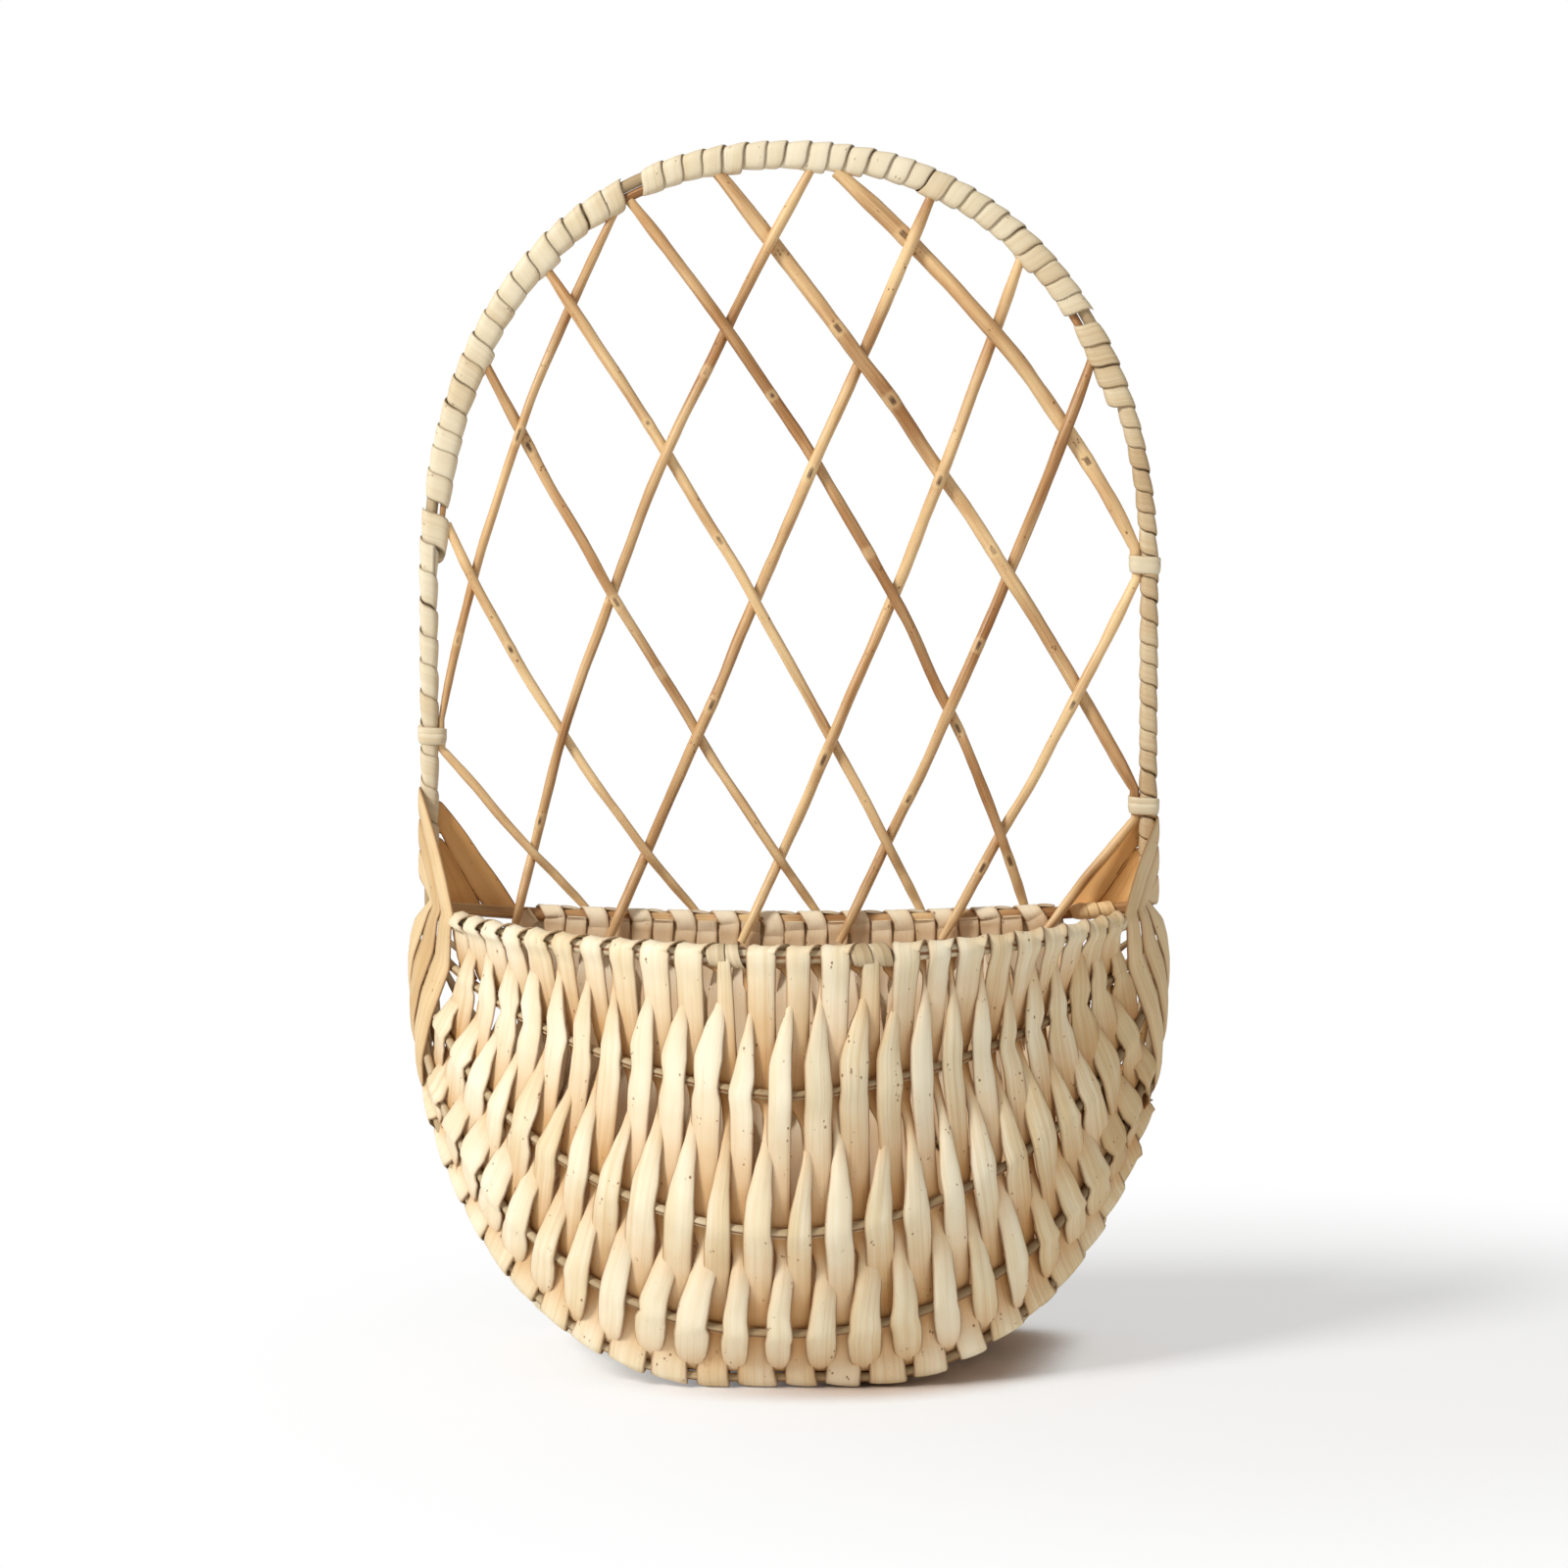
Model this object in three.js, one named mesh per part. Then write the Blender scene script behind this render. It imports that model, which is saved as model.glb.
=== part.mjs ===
// Wall basket of split willow: a half-round pocket with a flat back, hung from a tall arched hoop
// that a lattice of crossed sticks fills. Millimetres, +Z up, the front faces -Y and the origin is
// on the floor under the middle of the basket.
import * as THREE from "three";

// Driving sizes of the hoop and the pocket, measured on the centre lines of the rods.
const HOOP_HALF_WIDTH = 143.7;
const HOOP_TOP = 472.6;
const ARCH_SPRING = 300;
const ARCH_POWER = 2.2;
const POLE_DROP = 4.5;
const HOOP_LOW = 4.47;
const HOOP_BASE_HALF_WIDTH = 65;
const HOOP_POWER = 2.07;
const RIM_HEIGHT = 166.5;
const RIM_SIDE_LIFT = 7;
const BACK_RIM_SIDE_LIFT = 5;
const BACK_RIM_MIDDLE_DROP = 0.5;
const POCKET_DEPTH = 140;

// The ribs of the pocket, each a bow from side to side in its own plane. The bulge is how much
// further it goes to either side than the hoop, and the pole is the point where its plane meets the
// sides, with its rise above the height of the rim. Its middle lies forward of the rim's middle, and
// its level is a share of the rim's height, or a height where it is on the floor. A rib may run
// straight over a middle stretch, and the power of its bow makes it fuller (over 2) or more pointed.
const FRONT_RIBS = [
  { name: "upper_front_rib", bulge: 3.3, poleRise: 3.5, forward: 3, level: 0.697, power: 1.55 },
  { name: "middle_front_rib", bulge: 4.3, poleRise: -0.5, forward: -4, level: 0.384, power: 1.8 },
  { name: "lower_front_rib", bulge: 4.8, poleRise: -4.5, forward: -21, level: 0.141, power: 2.06 },
  { name: "base_edge_rib", bulge: 4.8, poleRise: -9.5, forward: -36, height: 3.95, power: 2, straight: 25 },
  { name: "base_rib", bulge: 2.3, poleRise: -11.5, forward: -88, height: 3.35, power: 2.05, straight: 50 },
];
const FRONT_POLE_DEPTH = 6;
const BACK_RIBS = [
  { name: "lower_back_rib", poleRise: -14.5, level: 0.348, power: 1.5 },
  { name: "upper_back_rib", poleRise: -5.5, level: 0.679, power: 1.35 },
];
const FRONT_RIM_POWER = 1.85;
const RIB_ENDS = 0.98;

// Rod radii.
const HOOP_RADIUS = 2.35;
const ARCH_LINER_RADIUS = 1.75;
const RIM_RADIUS = 2.6;
const RIB_RADIUS = 1.85;

// Split strips: the weaver, the binding of the arch, the lashing of the sides and the ties.
const WEAVER_THICKNESS = 1.2;
const BINDING_THICKNESS = 0.8;
const BINDING_GAP = 1.2;
const BINDING_FILL = 0.95;
const LASHING_THICKNESS = 1.1;
const TIE_THICKNESS = 1.2;
const TIE_HEIGHT = 8.5;
const TIE_OUTER_ROUND = 1.9;
const TIE_INNER_ROUND = 0.6;

// Clearance between pieces that touch.
const SEAT = 0.3;

// The weave: how many strips, how far round the ribs they reach (1 is the pole where the ribs
// meet) and how wide a strip is where it lies over a rib, as a share of the pitch between courses.
// Two neighbours change sides at a share of the way from the upper rod to the lower one. The strip
// that comes out there is squeezed narrow between its neighbours, and the one that goes in is not.
const WEAVER_COUNT = 12;
const COURSES_PER_WEAVER = 4;
const WEAVE_REACH = 0.74;
const WIDE_SHARE = 1.36;
const COMING_OUT_SHARE = 0.45;
const GOING_IN_SHARE = 1.16;
const CHANGE_PLACE = 0.34;
const FLAT_LENGTH = 2.5;
const FLAT_SHARE = 0.2;

// Facets.
const ROD_SIDES = 8;
const RIB_SIDES = 6;
const STICK_SIDES = 6;
const HOOP_LOWER_STEPS = 26;
const HOOP_ARCH_STEPS = 40;
const RIM_STEPS = 32;
const RIB_STEPS = 27;
const BINDING_STEPS = 6;

// Finishes.
const PEELED_STRIP = { color: 0xead7b0, roughness: 0.55 };
const BINDING_STRIP = { color: 0xecdcb8, roughness: 0.5 };
const ROUND_STICK = { color: 0xcda069, roughness: 0.6 };
const PALE_ROD = { color: 0xd9cdb6, roughness: 0.65 };
const LASHING_STRIP = { color: 0xdbb885, roughness: 0.55 };

const basket = new THREE.Group();

const vec = (x, y, z) => new THREE.Vector3(x, y, z);
const UP = vec(0, 0, 1);
const BACK = vec(0, 1, 0);
const between = (a, b, t) => a.clone().lerp(b, t);
const moved = (p, direction, distance) => p.clone().addScaledVector(direction, distance);
const heading = (a, b) => b.clone().sub(a).normalize();
const cross = (a, b) => new THREE.Vector3().crossVectors(a, b).normalize();

// A closed skin over a row of rings with the same number of points. The two ends are capped unless
// the rings close on themselves, and the faces are turned outwards.
function loft(rings, closed = false) {
  const sides = rings[0].length;
  const points = rings.flat();
  const faces = [];
  const spans = closed ? rings.length : rings.length - 1;
  for (let i = 0; i < spans; i += 1) {
    const here = i * sides;
    const next = ((i + 1) % rings.length) * sides;
    for (let j = 0; j < sides; j += 1) {
      const k = (j + 1) % sides;
      faces.push([here + j, here + k, next + k], [here + j, next + k, next + j]);
    }
  }
  if (!closed) {
    const last = (rings.length - 1) * sides;
    for (let j = 1; j < sides - 1; j += 1) {
      faces.push([0, j + 1, j], [last, last + j, last + j + 1]);
    }
  }
  const corner = vec(0, 0, 0);
  const volume = faces.reduce((sum, [a, b, c]) => {
    corner.crossVectors(points[b], points[c]);
    return sum + points[a].dot(corner);
  }, 0);
  const index = volume < 0 ? faces.map(([a, b, c]) => [a, c, b]) : faces;
  const geometry = new THREE.BufferGeometry().setFromPoints(points);
  geometry.setIndex(index.flat());
  geometry.computeVertexNormals();
  return geometry;
}

function addPiece(name, geometry, finish) {
  const mesh = new THREE.Mesh(geometry, new THREE.MeshStandardMaterial({ metalness: 0, ...finish }));
  mesh.name = name;
  basket.add(mesh);
  return mesh;
}

// A round section about a centre, across a direction of travel.
function roundRing(centre, along, reference, radius, sides) {
  const first = cross(reference, along);
  const second = cross(along, first);
  return Array.from({ length: sides }, (_, j) => {
    const angle = (2 * Math.PI * (j + 0.5)) / sides;
    return moved(moved(centre, first, radius * Math.cos(angle)), second, radius * Math.sin(angle));
  });
}

// A rod along a curve, with a section at each station and a radius that may change on the way.
function rod(curve, radiusAt, { reference, sides, stations }) {
  return loft(
    stations.map((u) =>
      roundRing(curve.getPointAt(u), curve.getTangentAt(u), reference, radiusAt(u), sides),
    ),
  );
}

// The straight runs between the stations of a faceted rod, so that what seats on the rod follows
// the rod as it is built. It is read like a curve.
class StraightRuns {
  constructor(curve, stations) {
    this.curve = curve;
    this.stations = stations;
    this.points = stations.map((u) => curve.getPointAt(u));
  }

  getPointAt(u) {
    const last = this.stations.length - 1;
    if (u <= this.stations[0] || u >= this.stations[last]) return this.curve.getPointAt(u);
    const next = this.stations.findIndex((station) => station >= u);
    const [from, to] = [this.stations[next - 1], this.stations[next]];
    return between(this.points[next - 1], this.points[next], (u - from) / (to - from));
  }

  getTangentAt(u) {
    return this.curve.getTangentAt(u);
  }

  getLength() {
    return this.curve.getLength();
  }
}

const evenStations = (steps, from = 0, to = 1) =>
  Array.from({ length: steps + 1 }, (_, i) => from + ((to - from) * i) / steps);

// A section of a split strip: flat on the side it faces, ridged on the other.
function ridgedRing({ centre, across, facing, width }) {
  return [
    moved(moved(centre, across, width / 2), facing, WEAVER_THICKNESS / 2),
    moved(moved(centre, across, -width / 2), facing, WEAVER_THICKNESS / 2),
    moved(centre, facing, -WEAVER_THICKNESS / 2),
  ];
}

// A flat rectangular section.
function flatRing({ centre, across, facing, width, thickness }) {
  return [
    [1, 1],
    [-1, 1],
    [-1, -1],
    [1, -1],
  ].map(([a, f]) => moved(moved(centre, across, (a * width) / 2), facing, (f * thickness) / 2));
}

// A rib bends from the left pole to the right one through a middle point. In its own plane it is a
// flat stretch with a quarter of a superellipse at each side.
class RibCurve extends THREE.Curve {
  constructor({ halfWidth, flat = 0, pole, middle, power }) {
    super();
    Object.assign(this, { halfWidth, flat, pole, power });
    this.reach = middle.clone().sub(pole);
    this.planeNormal = cross(vec(1, 0, 0), this.reach);
    this.arcLengthDivisions = 400;
  }

  getPoint(t, target = vec(0, 0, 0)) {
    const turn = (t - 0.5) * Math.PI;
    const side = Math.sign(turn);
    const outward = Math.abs(Math.sin(turn));
    const flatEnd = this.flat / this.halfWidth;
    const bend = Math.max(0, (outward - flatEnd) / (1 - flatEnd));
    const angle = (bend * Math.PI) / 2;
    const x = this.flat * Math.min(1, outward / Math.max(flatEnd, 1e-9));
    const curved = (this.halfWidth - this.flat) * Math.pow(Math.sin(angle), 2 / this.power);
    const share = Math.pow(Math.max(0, Math.cos(angle)), 2 / this.power);
    return target.copy(this.pole).addScaledVector(this.reach, share).setX(side * (x + curved));
  }
}

// The closed hoop: straight legs, an arch above them and the lower half that runs round the pocket.
const lowerHoop = new RibCurve({
  halfWidth: HOOP_HALF_WIDTH,
  flat: HOOP_BASE_HALF_WIDTH,
  pole: vec(0, 0, RIM_HEIGHT - POLE_DROP),
  middle: vec(0, 0, HOOP_LOW),
  power: HOOP_POWER,
});
const archRise = HOOP_TOP - ARCH_SPRING;
const legBelowSpring = ARCH_SPRING - lowerHoop.pole.z;

class ArchCurve extends THREE.Curve {
  constructor() {
    super();
    this.arcLengthDivisions = 800;
  }

  // From the left pole up the left leg, over the arch and down the right leg.
  getPoint(t, target = vec(0, 0, 0)) {
    const leg = legBelowSpring;
    const bow = (Math.PI * (HOOP_HALF_WIDTH + archRise)) / 2;
    const run = t * (2 * leg + bow);
    if (run <= leg) return target.set(-HOOP_HALF_WIDTH, 0, lowerHoop.pole.z + run);
    if (run >= leg + bow) {
      return target.set(HOOP_HALF_WIDTH, 0, ARCH_SPRING - (run - leg - bow));
    }
    const angle = Math.PI * (1 - (run - leg) / bow);
    const power = 2 / ARCH_POWER;
    const x = HOOP_HALF_WIDTH * Math.pow(Math.abs(Math.cos(angle)), power);
    const z = ARCH_SPRING + archRise * Math.pow(Math.max(0, Math.sin(angle)), power);
    return target.set(Math.sign(Math.cos(angle)) * x, 0, z);
  }
}

const linerInset = HOOP_RADIUS + SEAT + ARCH_LINER_RADIUS;
const smoothArch = new ArchCurve();
const legShare = legBelowSpring / smoothArch.getLength();
const bendStations = evenStations(HOOP_ARCH_STEPS, legShare, 1 - legShare);
const arch = new StraightRuns(smoothArch, [0, ...bendStations, 1]);
const hoopLowerRuns = new StraightRuns(lowerHoop, evenStations(HOOP_LOWER_STEPS));

// Places on the arch. A leg runs from the level of the rim (0) to where the arch springs (1), and
// the heights of what is tied or lashed to it are shares of that. Higher up, a place is a direction
// in degrees from the middle of the arch, clockwise from the top.
const heightOnLeg = (share) => RIM_HEIGHT + share * (ARCH_SPRING - RIM_HEIGHT);

function placeWhere(isBefore, low, high) {
  for (let i = 0; i < 40; i += 1) {
    const middle = (low + high) / 2;
    if (isBefore(arch.getPointAt(middle))) low = middle;
    else high = middle;
  }
  return low;
}

function placeOnLeg(side, share) {
  const height = heightOnLeg(share);
  return side < 0
    ? placeWhere(({ z }) => z < height, 0, 0.5)
    : placeWhere(({ z }) => z > height, 0.5, 1);
}

function placeInDirection(degrees) {
  const wanted = THREE.MathUtils.degToRad(degrees);
  return placeWhere(({ x, z }) => Math.atan2(x, z - ARCH_SPRING) < wanted, 0, 1);
}

const hoopRing = (curve, u, sense) =>
  roundRing(curve.getPointAt(u), curve.getTangentAt(u).multiplyScalar(sense), BACK, HOOP_RADIUS, ROD_SIDES);
const hoopRings = [
  ...hoopLowerRuns.stations.slice(0, -1).map((u) => hoopRing(lowerHoop, u, 1)),
  ...arch.stations.slice(1).reverse().map((u) => hoopRing(smoothArch, u, -1)),
];
addPiece("hoop_rod", loft(hoopRings, true), PALE_ROD);

// The second rod lies inside the arch and thins out down each leg. Places along the arch are
// shares of the way from the left side of the pocket, over the top, to the right side.
const LINER_FROM = 0.2;
const LINER_TO = 0.715;
const LINER_TAPER = 0.05;
const LINER_TIP_SHARE = 0.5;

function linerRadius(u) {
  const fromEnd = Math.min(u - LINER_FROM, LINER_TO - u) / LINER_TAPER;
  const share = LINER_TIP_SHARE + (1 - LINER_TIP_SHARE) * Math.min(1, Math.max(0, fromEnd));
  return ARCH_LINER_RADIUS * share;
}

// The liner follows the hoop, one rod's width further in.
function linerRing(u) {
  const along = smoothArch.getTangentAt(u);
  const centre = moved(arch.getPointAt(u), cross(BACK, along), linerInset);
  return roundRing(centre, along, BACK, linerRadius(u), RIB_SIDES);
}
const linerStations = [
  LINER_FROM,
  ...bendStations.filter((u) => u > LINER_FROM + LINER_TAPER / 3 && u < LINER_TO - LINER_TAPER / 3),
  LINER_TO,
];
addPiece("arch_liner_rod", loft(linerStations.map(linerRing)), ROUND_STICK);

// Bindings: a flat strip wound round the hoop and its liner. Each is one unbroken strip, and the
// lower ones end just above the rim, at a share of the way up the leg.
const LEG_BINDING_LOW = 0.11;
const BINDINGS = [
  { name: "left_leg_binding", from: placeOnLeg(-1, LEG_BINDING_LOW), to: 0.215, turns: 11 },
  { name: "left_arch_binding", from: 0.218, to: 0.414, turns: 15 },
  { name: "top_arch_binding", from: 0.4215, to: 0.68, turns: 23 },
  { name: "right_leg_binding", from: 0.6835, to: placeOnLeg(1, LEG_BINDING_LOW), turns: 25 },
];

// How far the rods reach towards the middle of the arch, at a point of the hoop and close to it.
const BINDING_SPREAD = 0.012;

function bundleReach(u) {
  const nearby = [-1, -0.5, 0, 0.5, 1].map((k) => u + k * BINDING_SPREAD);
  const reaches = nearby.map((v) =>
    v > LINER_FROM && v < LINER_TO ? linerInset + linerRadius(v) : HOOP_RADIUS,
  );
  return Math.max(...reaches);
}

// The six corners that a turn passes, from the inner face over the front to the outer face.
// "Down" is the share of the way from the outer face of the bundle to the inner one, "side" says
// which side it lies on and "reach" how far out it goes, as a share of the half width.
const TURN_CORNERS = [
  { down: 1, side: -1, reach: 0.86 },
  { down: 0.5, side: -1, reach: 1 },
  { down: 0, side: -1, reach: 0.86 },
  { down: 0, side: 1, reach: 0.86 },
  { down: 0.5, side: 1, reach: 1 },
  { down: 1, side: 1, reach: 0.86 },
];

// A corner of the strip's inner face (layer 0) or outer face (layer 1).
function bindingCorner(u, corner, layer) {
  const grow = SEAT + layer * BINDING_THICKNESS;
  const outer = -(HOOP_RADIUS + grow);
  const inner = bundleReach(u) + grow;
  const inward = cross(BACK, smoothArch.getTangentAt(u));
  const depth = outer + (inner - outer) * corner.down;
  const sideways = corner.side * corner.reach * (HOOP_RADIUS + grow);
  return moved(moved(arch.getPointAt(u), inward, depth), BACK, sideways);
}

function bindingRings({ from, to, turns }) {
  const length = arch.getLength();
  const pitch = ((to - from) * length) / turns;
  const width = pitch * BINDING_FILL - BINDING_GAP;
  const start = from + width / 2 / length;
  const end = to - width / 2 / length;
  const steps = Math.round(turns * BINDING_STEPS) - 1;
  return evenStations(steps, start, end).map((u, i) => {
    const along = smoothArch.getTangentAt(u);
    const corner = TURN_CORNERS[i % BINDING_STEPS];
    const [inner, outer] = [bindingCorner(u, corner, 0), bindingCorner(u, corner, 1)];
    return [
      moved(outer, along, width / 2),
      moved(outer, along, -width / 2),
      moved(inner, along, -width / 2),
      moved(inner, along, width / 2),
    ];
  });
}

// The least distance between one turn and the next, taken on the corners of the strip.
function leastGap(rings) {
  let least = Infinity;
  for (let i = 0; i + BINDING_STEPS < rings.length; i += 1) {
    const here = rings[i];
    const next = rings[i + BINDING_STEPS];
    here.forEach((a) => next.forEach((b) => (least = Math.min(least, a.distanceTo(b)))));
  }
  return least;
}

BINDINGS.forEach((binding) => {
  const rings = bindingRings(binding);
  console.log(binding.name, "least gap between turns", leastGap(rings).toFixed(2), "mm");
  addPiece(binding.name, loft(rings), BINDING_STRIP);
});

// The rods that the strips cross, in order from the front rim round the bottom to the back rim.
const frontRim = new RibCurve({
  halfWidth: HOOP_HALF_WIDTH - HOOP_RADIUS,
  pole: vec(0, -(HOOP_RADIUS + SEAT + RIM_RADIUS), RIM_HEIGHT + RIM_SIDE_LIFT),
  middle: vec(0, -POCKET_DEPTH, RIM_HEIGHT),
  power: FRONT_RIM_POWER,
});
const frontRibs = FRONT_RIBS.map((rib) => ({
  name: rib.name,
  curve: new RibCurve({
    halfWidth: HOOP_HALF_WIDTH + rib.bulge,
    flat: rib.straight,
    pole: vec(0, -FRONT_POLE_DEPTH, RIM_HEIGHT + rib.poleRise),
    middle: vec(0, -POCKET_DEPTH - rib.forward, rib.height ?? RIM_HEIGHT * rib.level),
    power: rib.power,
  }),
}));
const backRibs = BACK_RIBS.map((rib) => ({
  name: rib.name,
  curve: new RibCurve({
    halfWidth: HOOP_HALF_WIDTH - HOOP_RADIUS - SEAT - RIB_RADIUS,
    pole: vec(0, 0, RIM_HEIGHT + rib.poleRise),
    middle: vec(0, 0, RIM_HEIGHT * rib.level),
    power: rib.power,
  }),
}));

// The back rim is a shallow bow between the legs of the hoop.
const BACK_RIM_HALF_WIDTH = HOOP_HALF_WIDTH - HOOP_RADIUS - SEAT;
const backRimEnd = vec(BACK_RIM_HALF_WIDTH, 0, RIM_HEIGHT + BACK_RIM_SIDE_LIFT);
const backRim = new THREE.QuadraticBezierCurve3(
  backRimEnd.clone().setX(-BACK_RIM_HALF_WIDTH),
  vec(0, 0, RIM_HEIGHT - BACK_RIM_SIDE_LIFT - 2 * BACK_RIM_MIDDLE_DROP),
  backRimEnd,
);
backRim.planeNormal = BACK;
const rimHeightAt = (x) => backRim.getPoint((1 + x / BACK_RIM_HALF_WIDTH) / 2).z;

const asRib = (rib) => ({ ...rib, radius: RIB_RADIUS, ends: RIB_ENDS });
const CARRIERS = [
  { name: "front_rim_rod", curve: frontRim, radius: RIM_RADIUS, ends: 1 },
  ...frontRibs.map(asRib),
  { name: null, curve: lowerHoop, radius: HOOP_RADIUS, runs: hoopLowerRuns },
  ...backRibs.map(asRib),
  { name: "back_rim_rod", curve: backRim, radius: RIM_RADIUS, ends: 1 },
];
CARRIERS.filter(({ name }) => name).forEach((carrier) => {
  const { name, curve, radius, ends } = carrier;
  const isRim = radius === RIM_RADIUS;
  const steps = isRim ? RIM_STEPS : RIB_STEPS;
  const stations = evenStations(steps, (1 - ends) / 2, (1 + ends) / 2);
  const sides = isRim ? ROD_SIDES : RIB_SIDES;
  carrier.runs = new StraightRuns(curve, stations);
  addPiece(name, rod(curve, () => radius, { reference: curve.planeNormal, sides, stations }), PALE_ROD);
});

// One course of the weave at a place across the basket: where it crosses each rod, which way it
// runs there, which way is out of the pocket, and the pitch between courses on that rod.
const COURSE_COUNT = WEAVER_COUNT * COURSES_PER_WEAVER;
const COURSE_STEP = (2 * WEAVE_REACH) / COURSE_COUNT;
const courseShare = (course) => -WEAVE_REACH + (course + 0.5) * COURSE_STEP;

function crossings(share) {
  const u = (1 + share) / 2;
  const points = CARRIERS.map(({ runs }) => runs.getPointAt(u));
  return CARRIERS.map(({ curve, radius }, k) => {
    const before = points[Math.max(0, k - 1)];
    const after = points[Math.min(points.length - 1, k + 1)];
    const along = heading(before, after);
    const across = curve.getTangentAt(u);
    return {
      point: points[k],
      along,
      across,
      out: cross(along, across),
      radius,
      pitch: (curve.getLength() * COURSE_STEP) / 2,
    };
  });
}

// How far inside a rod a strip has to pass so that its straight runs to the two places beside it
// stay clear of the rod.
function innerOffset(here, neighbours) {
  const clear = here.radius + SEAT;
  const offsets = neighbours.map((place) => {
    const away = place.clone().sub(here.point);
    const distance = away.length();
    const fromInside = Math.acos(-away.dot(here.out) / distance);
    const slope = fromInside - Math.acos(clear / distance);
    return clear / Math.cos(slope);
  });
  return Math.max(...offsets) + WEAVER_THICKNESS / 2;
}

// The sections of a course from the front rim to the back rim, without the turns round the rims.
// A course that faces 1 shows its flat side outside the pocket, and one that faces -1 its ridge.
function courseSections(share, outsideAtFront, face) {
  const places = crossings(share);
  const isOutsideAt = (k) => (k % 2 === 0 ? outsideAtFront : !outsideAtFront);
  const changes = places.slice(1).map((next, k) => {
    const here = places[k];
    const upperIsHere = k < HOOP_INDEX;
    const across = between(here.across, next.across, 0.5).normalize();
    const goesIn = isOutsideAt(upperIsHere ? k : k + 1);
    return {
      centre: between(here.point, next.point, upperIsHere ? CHANGE_PLACE : 1 - CHANGE_PLACE),
      across,
      facing: cross(heading(here.point, next.point), across).multiplyScalar(face),
      width: ((here.pitch + next.pitch) / 2) * (goesIn ? GOING_IN_SHARE : COMING_OUT_SHARE),
    };
  });
  const sections = [changes[0]];
  changes.slice(1).forEach((following, k) => {
    const rod = places[k + 1];
    const before = changes[k].centre;
    const after = following.centre;
    const section = {
      across: rod.across,
      facing: rod.out.clone().multiplyScalar(face),
      width: rod.pitch * WIDE_SHARE,
    };
    if (isOutsideAt(k + 1)) {
      const run = Math.min(before.distanceTo(rod.point), after.distanceTo(rod.point));
      const flat = Math.min(FLAT_LENGTH, run * 2 * FLAT_SHARE);
      const centre = moved(rod.point, rod.out, rod.radius + SEAT + WEAVER_THICKNESS / 2);
      [-flat, flat].forEach((shift) => {
        sections.push({ ...section, centre: moved(centre, rod.along, shift) });
      });
    } else {
      const centre = moved(rod.point, rod.out, -innerOffset(rod, [before, after]));
      sections.push({ ...section, centre });
    }
    sections.push(following);
  });
  return sections;
}

// The turn of a strip over a rim, from outside over the top to inside.
const WRAP_ANGLES = [0, 45, 90, 135, 180];
const WRAP_STEP = THREE.MathUtils.degToRad(45);

function wrapSections(rimIndex, fromShare, toShare, face, angles = WRAP_ANGLES) {
  return angles.map((degrees) => {
    const share = fromShare + (toShare - fromShare) * (degrees / 180);
    const { point, along, across, out, radius, pitch } = crossings(share)[rimIndex];
    const up = along.clone().multiplyScalar(rimIndex === 0 ? -1 : 1);
    const angle = THREE.MathUtils.degToRad(degrees);
    const direction = out.clone().multiplyScalar(Math.cos(angle)).addScaledVector(up, Math.sin(angle));
    const offset = (radius + SEAT) / Math.cos(WRAP_STEP / 2) + WEAVER_THICKNESS / 2;
    return {
      centre: moved(point, direction, offset),
      across,
      facing: direction.multiplyScalar(face),
      width: pitch * WIDE_SHARE,
    };
  });
}

// A weaver runs up the front, over the rim, down again inside the next gap, under the basket and
// up the back, turns over the back rim and comes back. Even courses lie outside the front rim.
const FRONT = 0;
const HOOP_INDEX = FRONT_RIBS.length + 1;
const REAR = CARRIERS.length - 1;
const REAR_END_ANGLES = [0, 45, 90];

function weaverRings(weaver) {
  const first = weaver * COURSES_PER_WEAVER;
  const sections = [];
  for (let c = 0; c < COURSES_PER_WEAVER; c += 2) {
    const rising = courseShare(first + c);
    const falling = courseShare(first + c + 1);
    const rear = wrapSections(REAR, rising, rising, 1, [180]);
    const up = courseSections(rising, true, -1).reverse();
    const over = wrapSections(FRONT, rising, falling, -1);
    const down = courseSections(falling, false, 1);
    if (c === 0) sections.push(...rear);
    sections.push(...up, ...over, ...down);
    const isLast = c + 2 >= COURSES_PER_WEAVER;
    const nextRising = courseShare(first + c + 2);
    const angles = isLast ? REAR_END_ANGLES : WRAP_ANGLES;
    sections.push(...wrapSections(REAR, falling, nextRising, 1, angles));
  }
  return sections.map(ridgedRing);
}

for (let weaver = 0; weaver < WEAVER_COUNT; weaver += 1) {
  addPiece(`weaver_${String(weaver + 1).padStart(2, "0")}`, loft(weaverRings(weaver)), PEELED_STRIP);
}

// Lashings: flat strips that go from behind a leg of the hoop over the end of the front rim, down
// over the ends of the ribs and in behind the hoop again, side by side.
const LASHING_SHARES = [0.79, 0.862, 0.934];
const LASHING_STEP = 0.072;
const LASHING_FILL = 0.84;
const LASHING_TWIST_FILL = 0.64;
const INNER_LASHING_SHARES = [0.815, 0.92];
const INNER_LASHING_WIDTH = 12;
const SIDES = [
  { name: "left", side: -1, onLeg: [0.356, 0.262, 0.168], innerOnLeg: [0.31, 0.2], legWidth: 11 },
  { name: "right", side: 1, onLeg: [0.27, 0.182, 0.094], innerOnLeg: [0.27, 0.17], legWidth: 10.5 },
];
const bindingReach = HOOP_RADIUS + SEAT + BINDING_THICKNESS;
const lashingOffset = SEAT + LASHING_THICKNESS / 2;
const cornerOffset = (radius) => (radius + SEAT) / Math.cos(WRAP_STEP / 2);

// How much further out a strip passes the corner of the square binding than its faces, and what a
// wide strip needs where the hoop bends under it.
const SQUARE_CORNER = 1.32;
const BEND_ROOM = 0.35;

// The turn from the outer face of a rod to its back, as directions about the rod.
function cornerDirections(from, to) {
  return [from, between(from, to, 0.5).normalize(), to];
}

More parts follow.
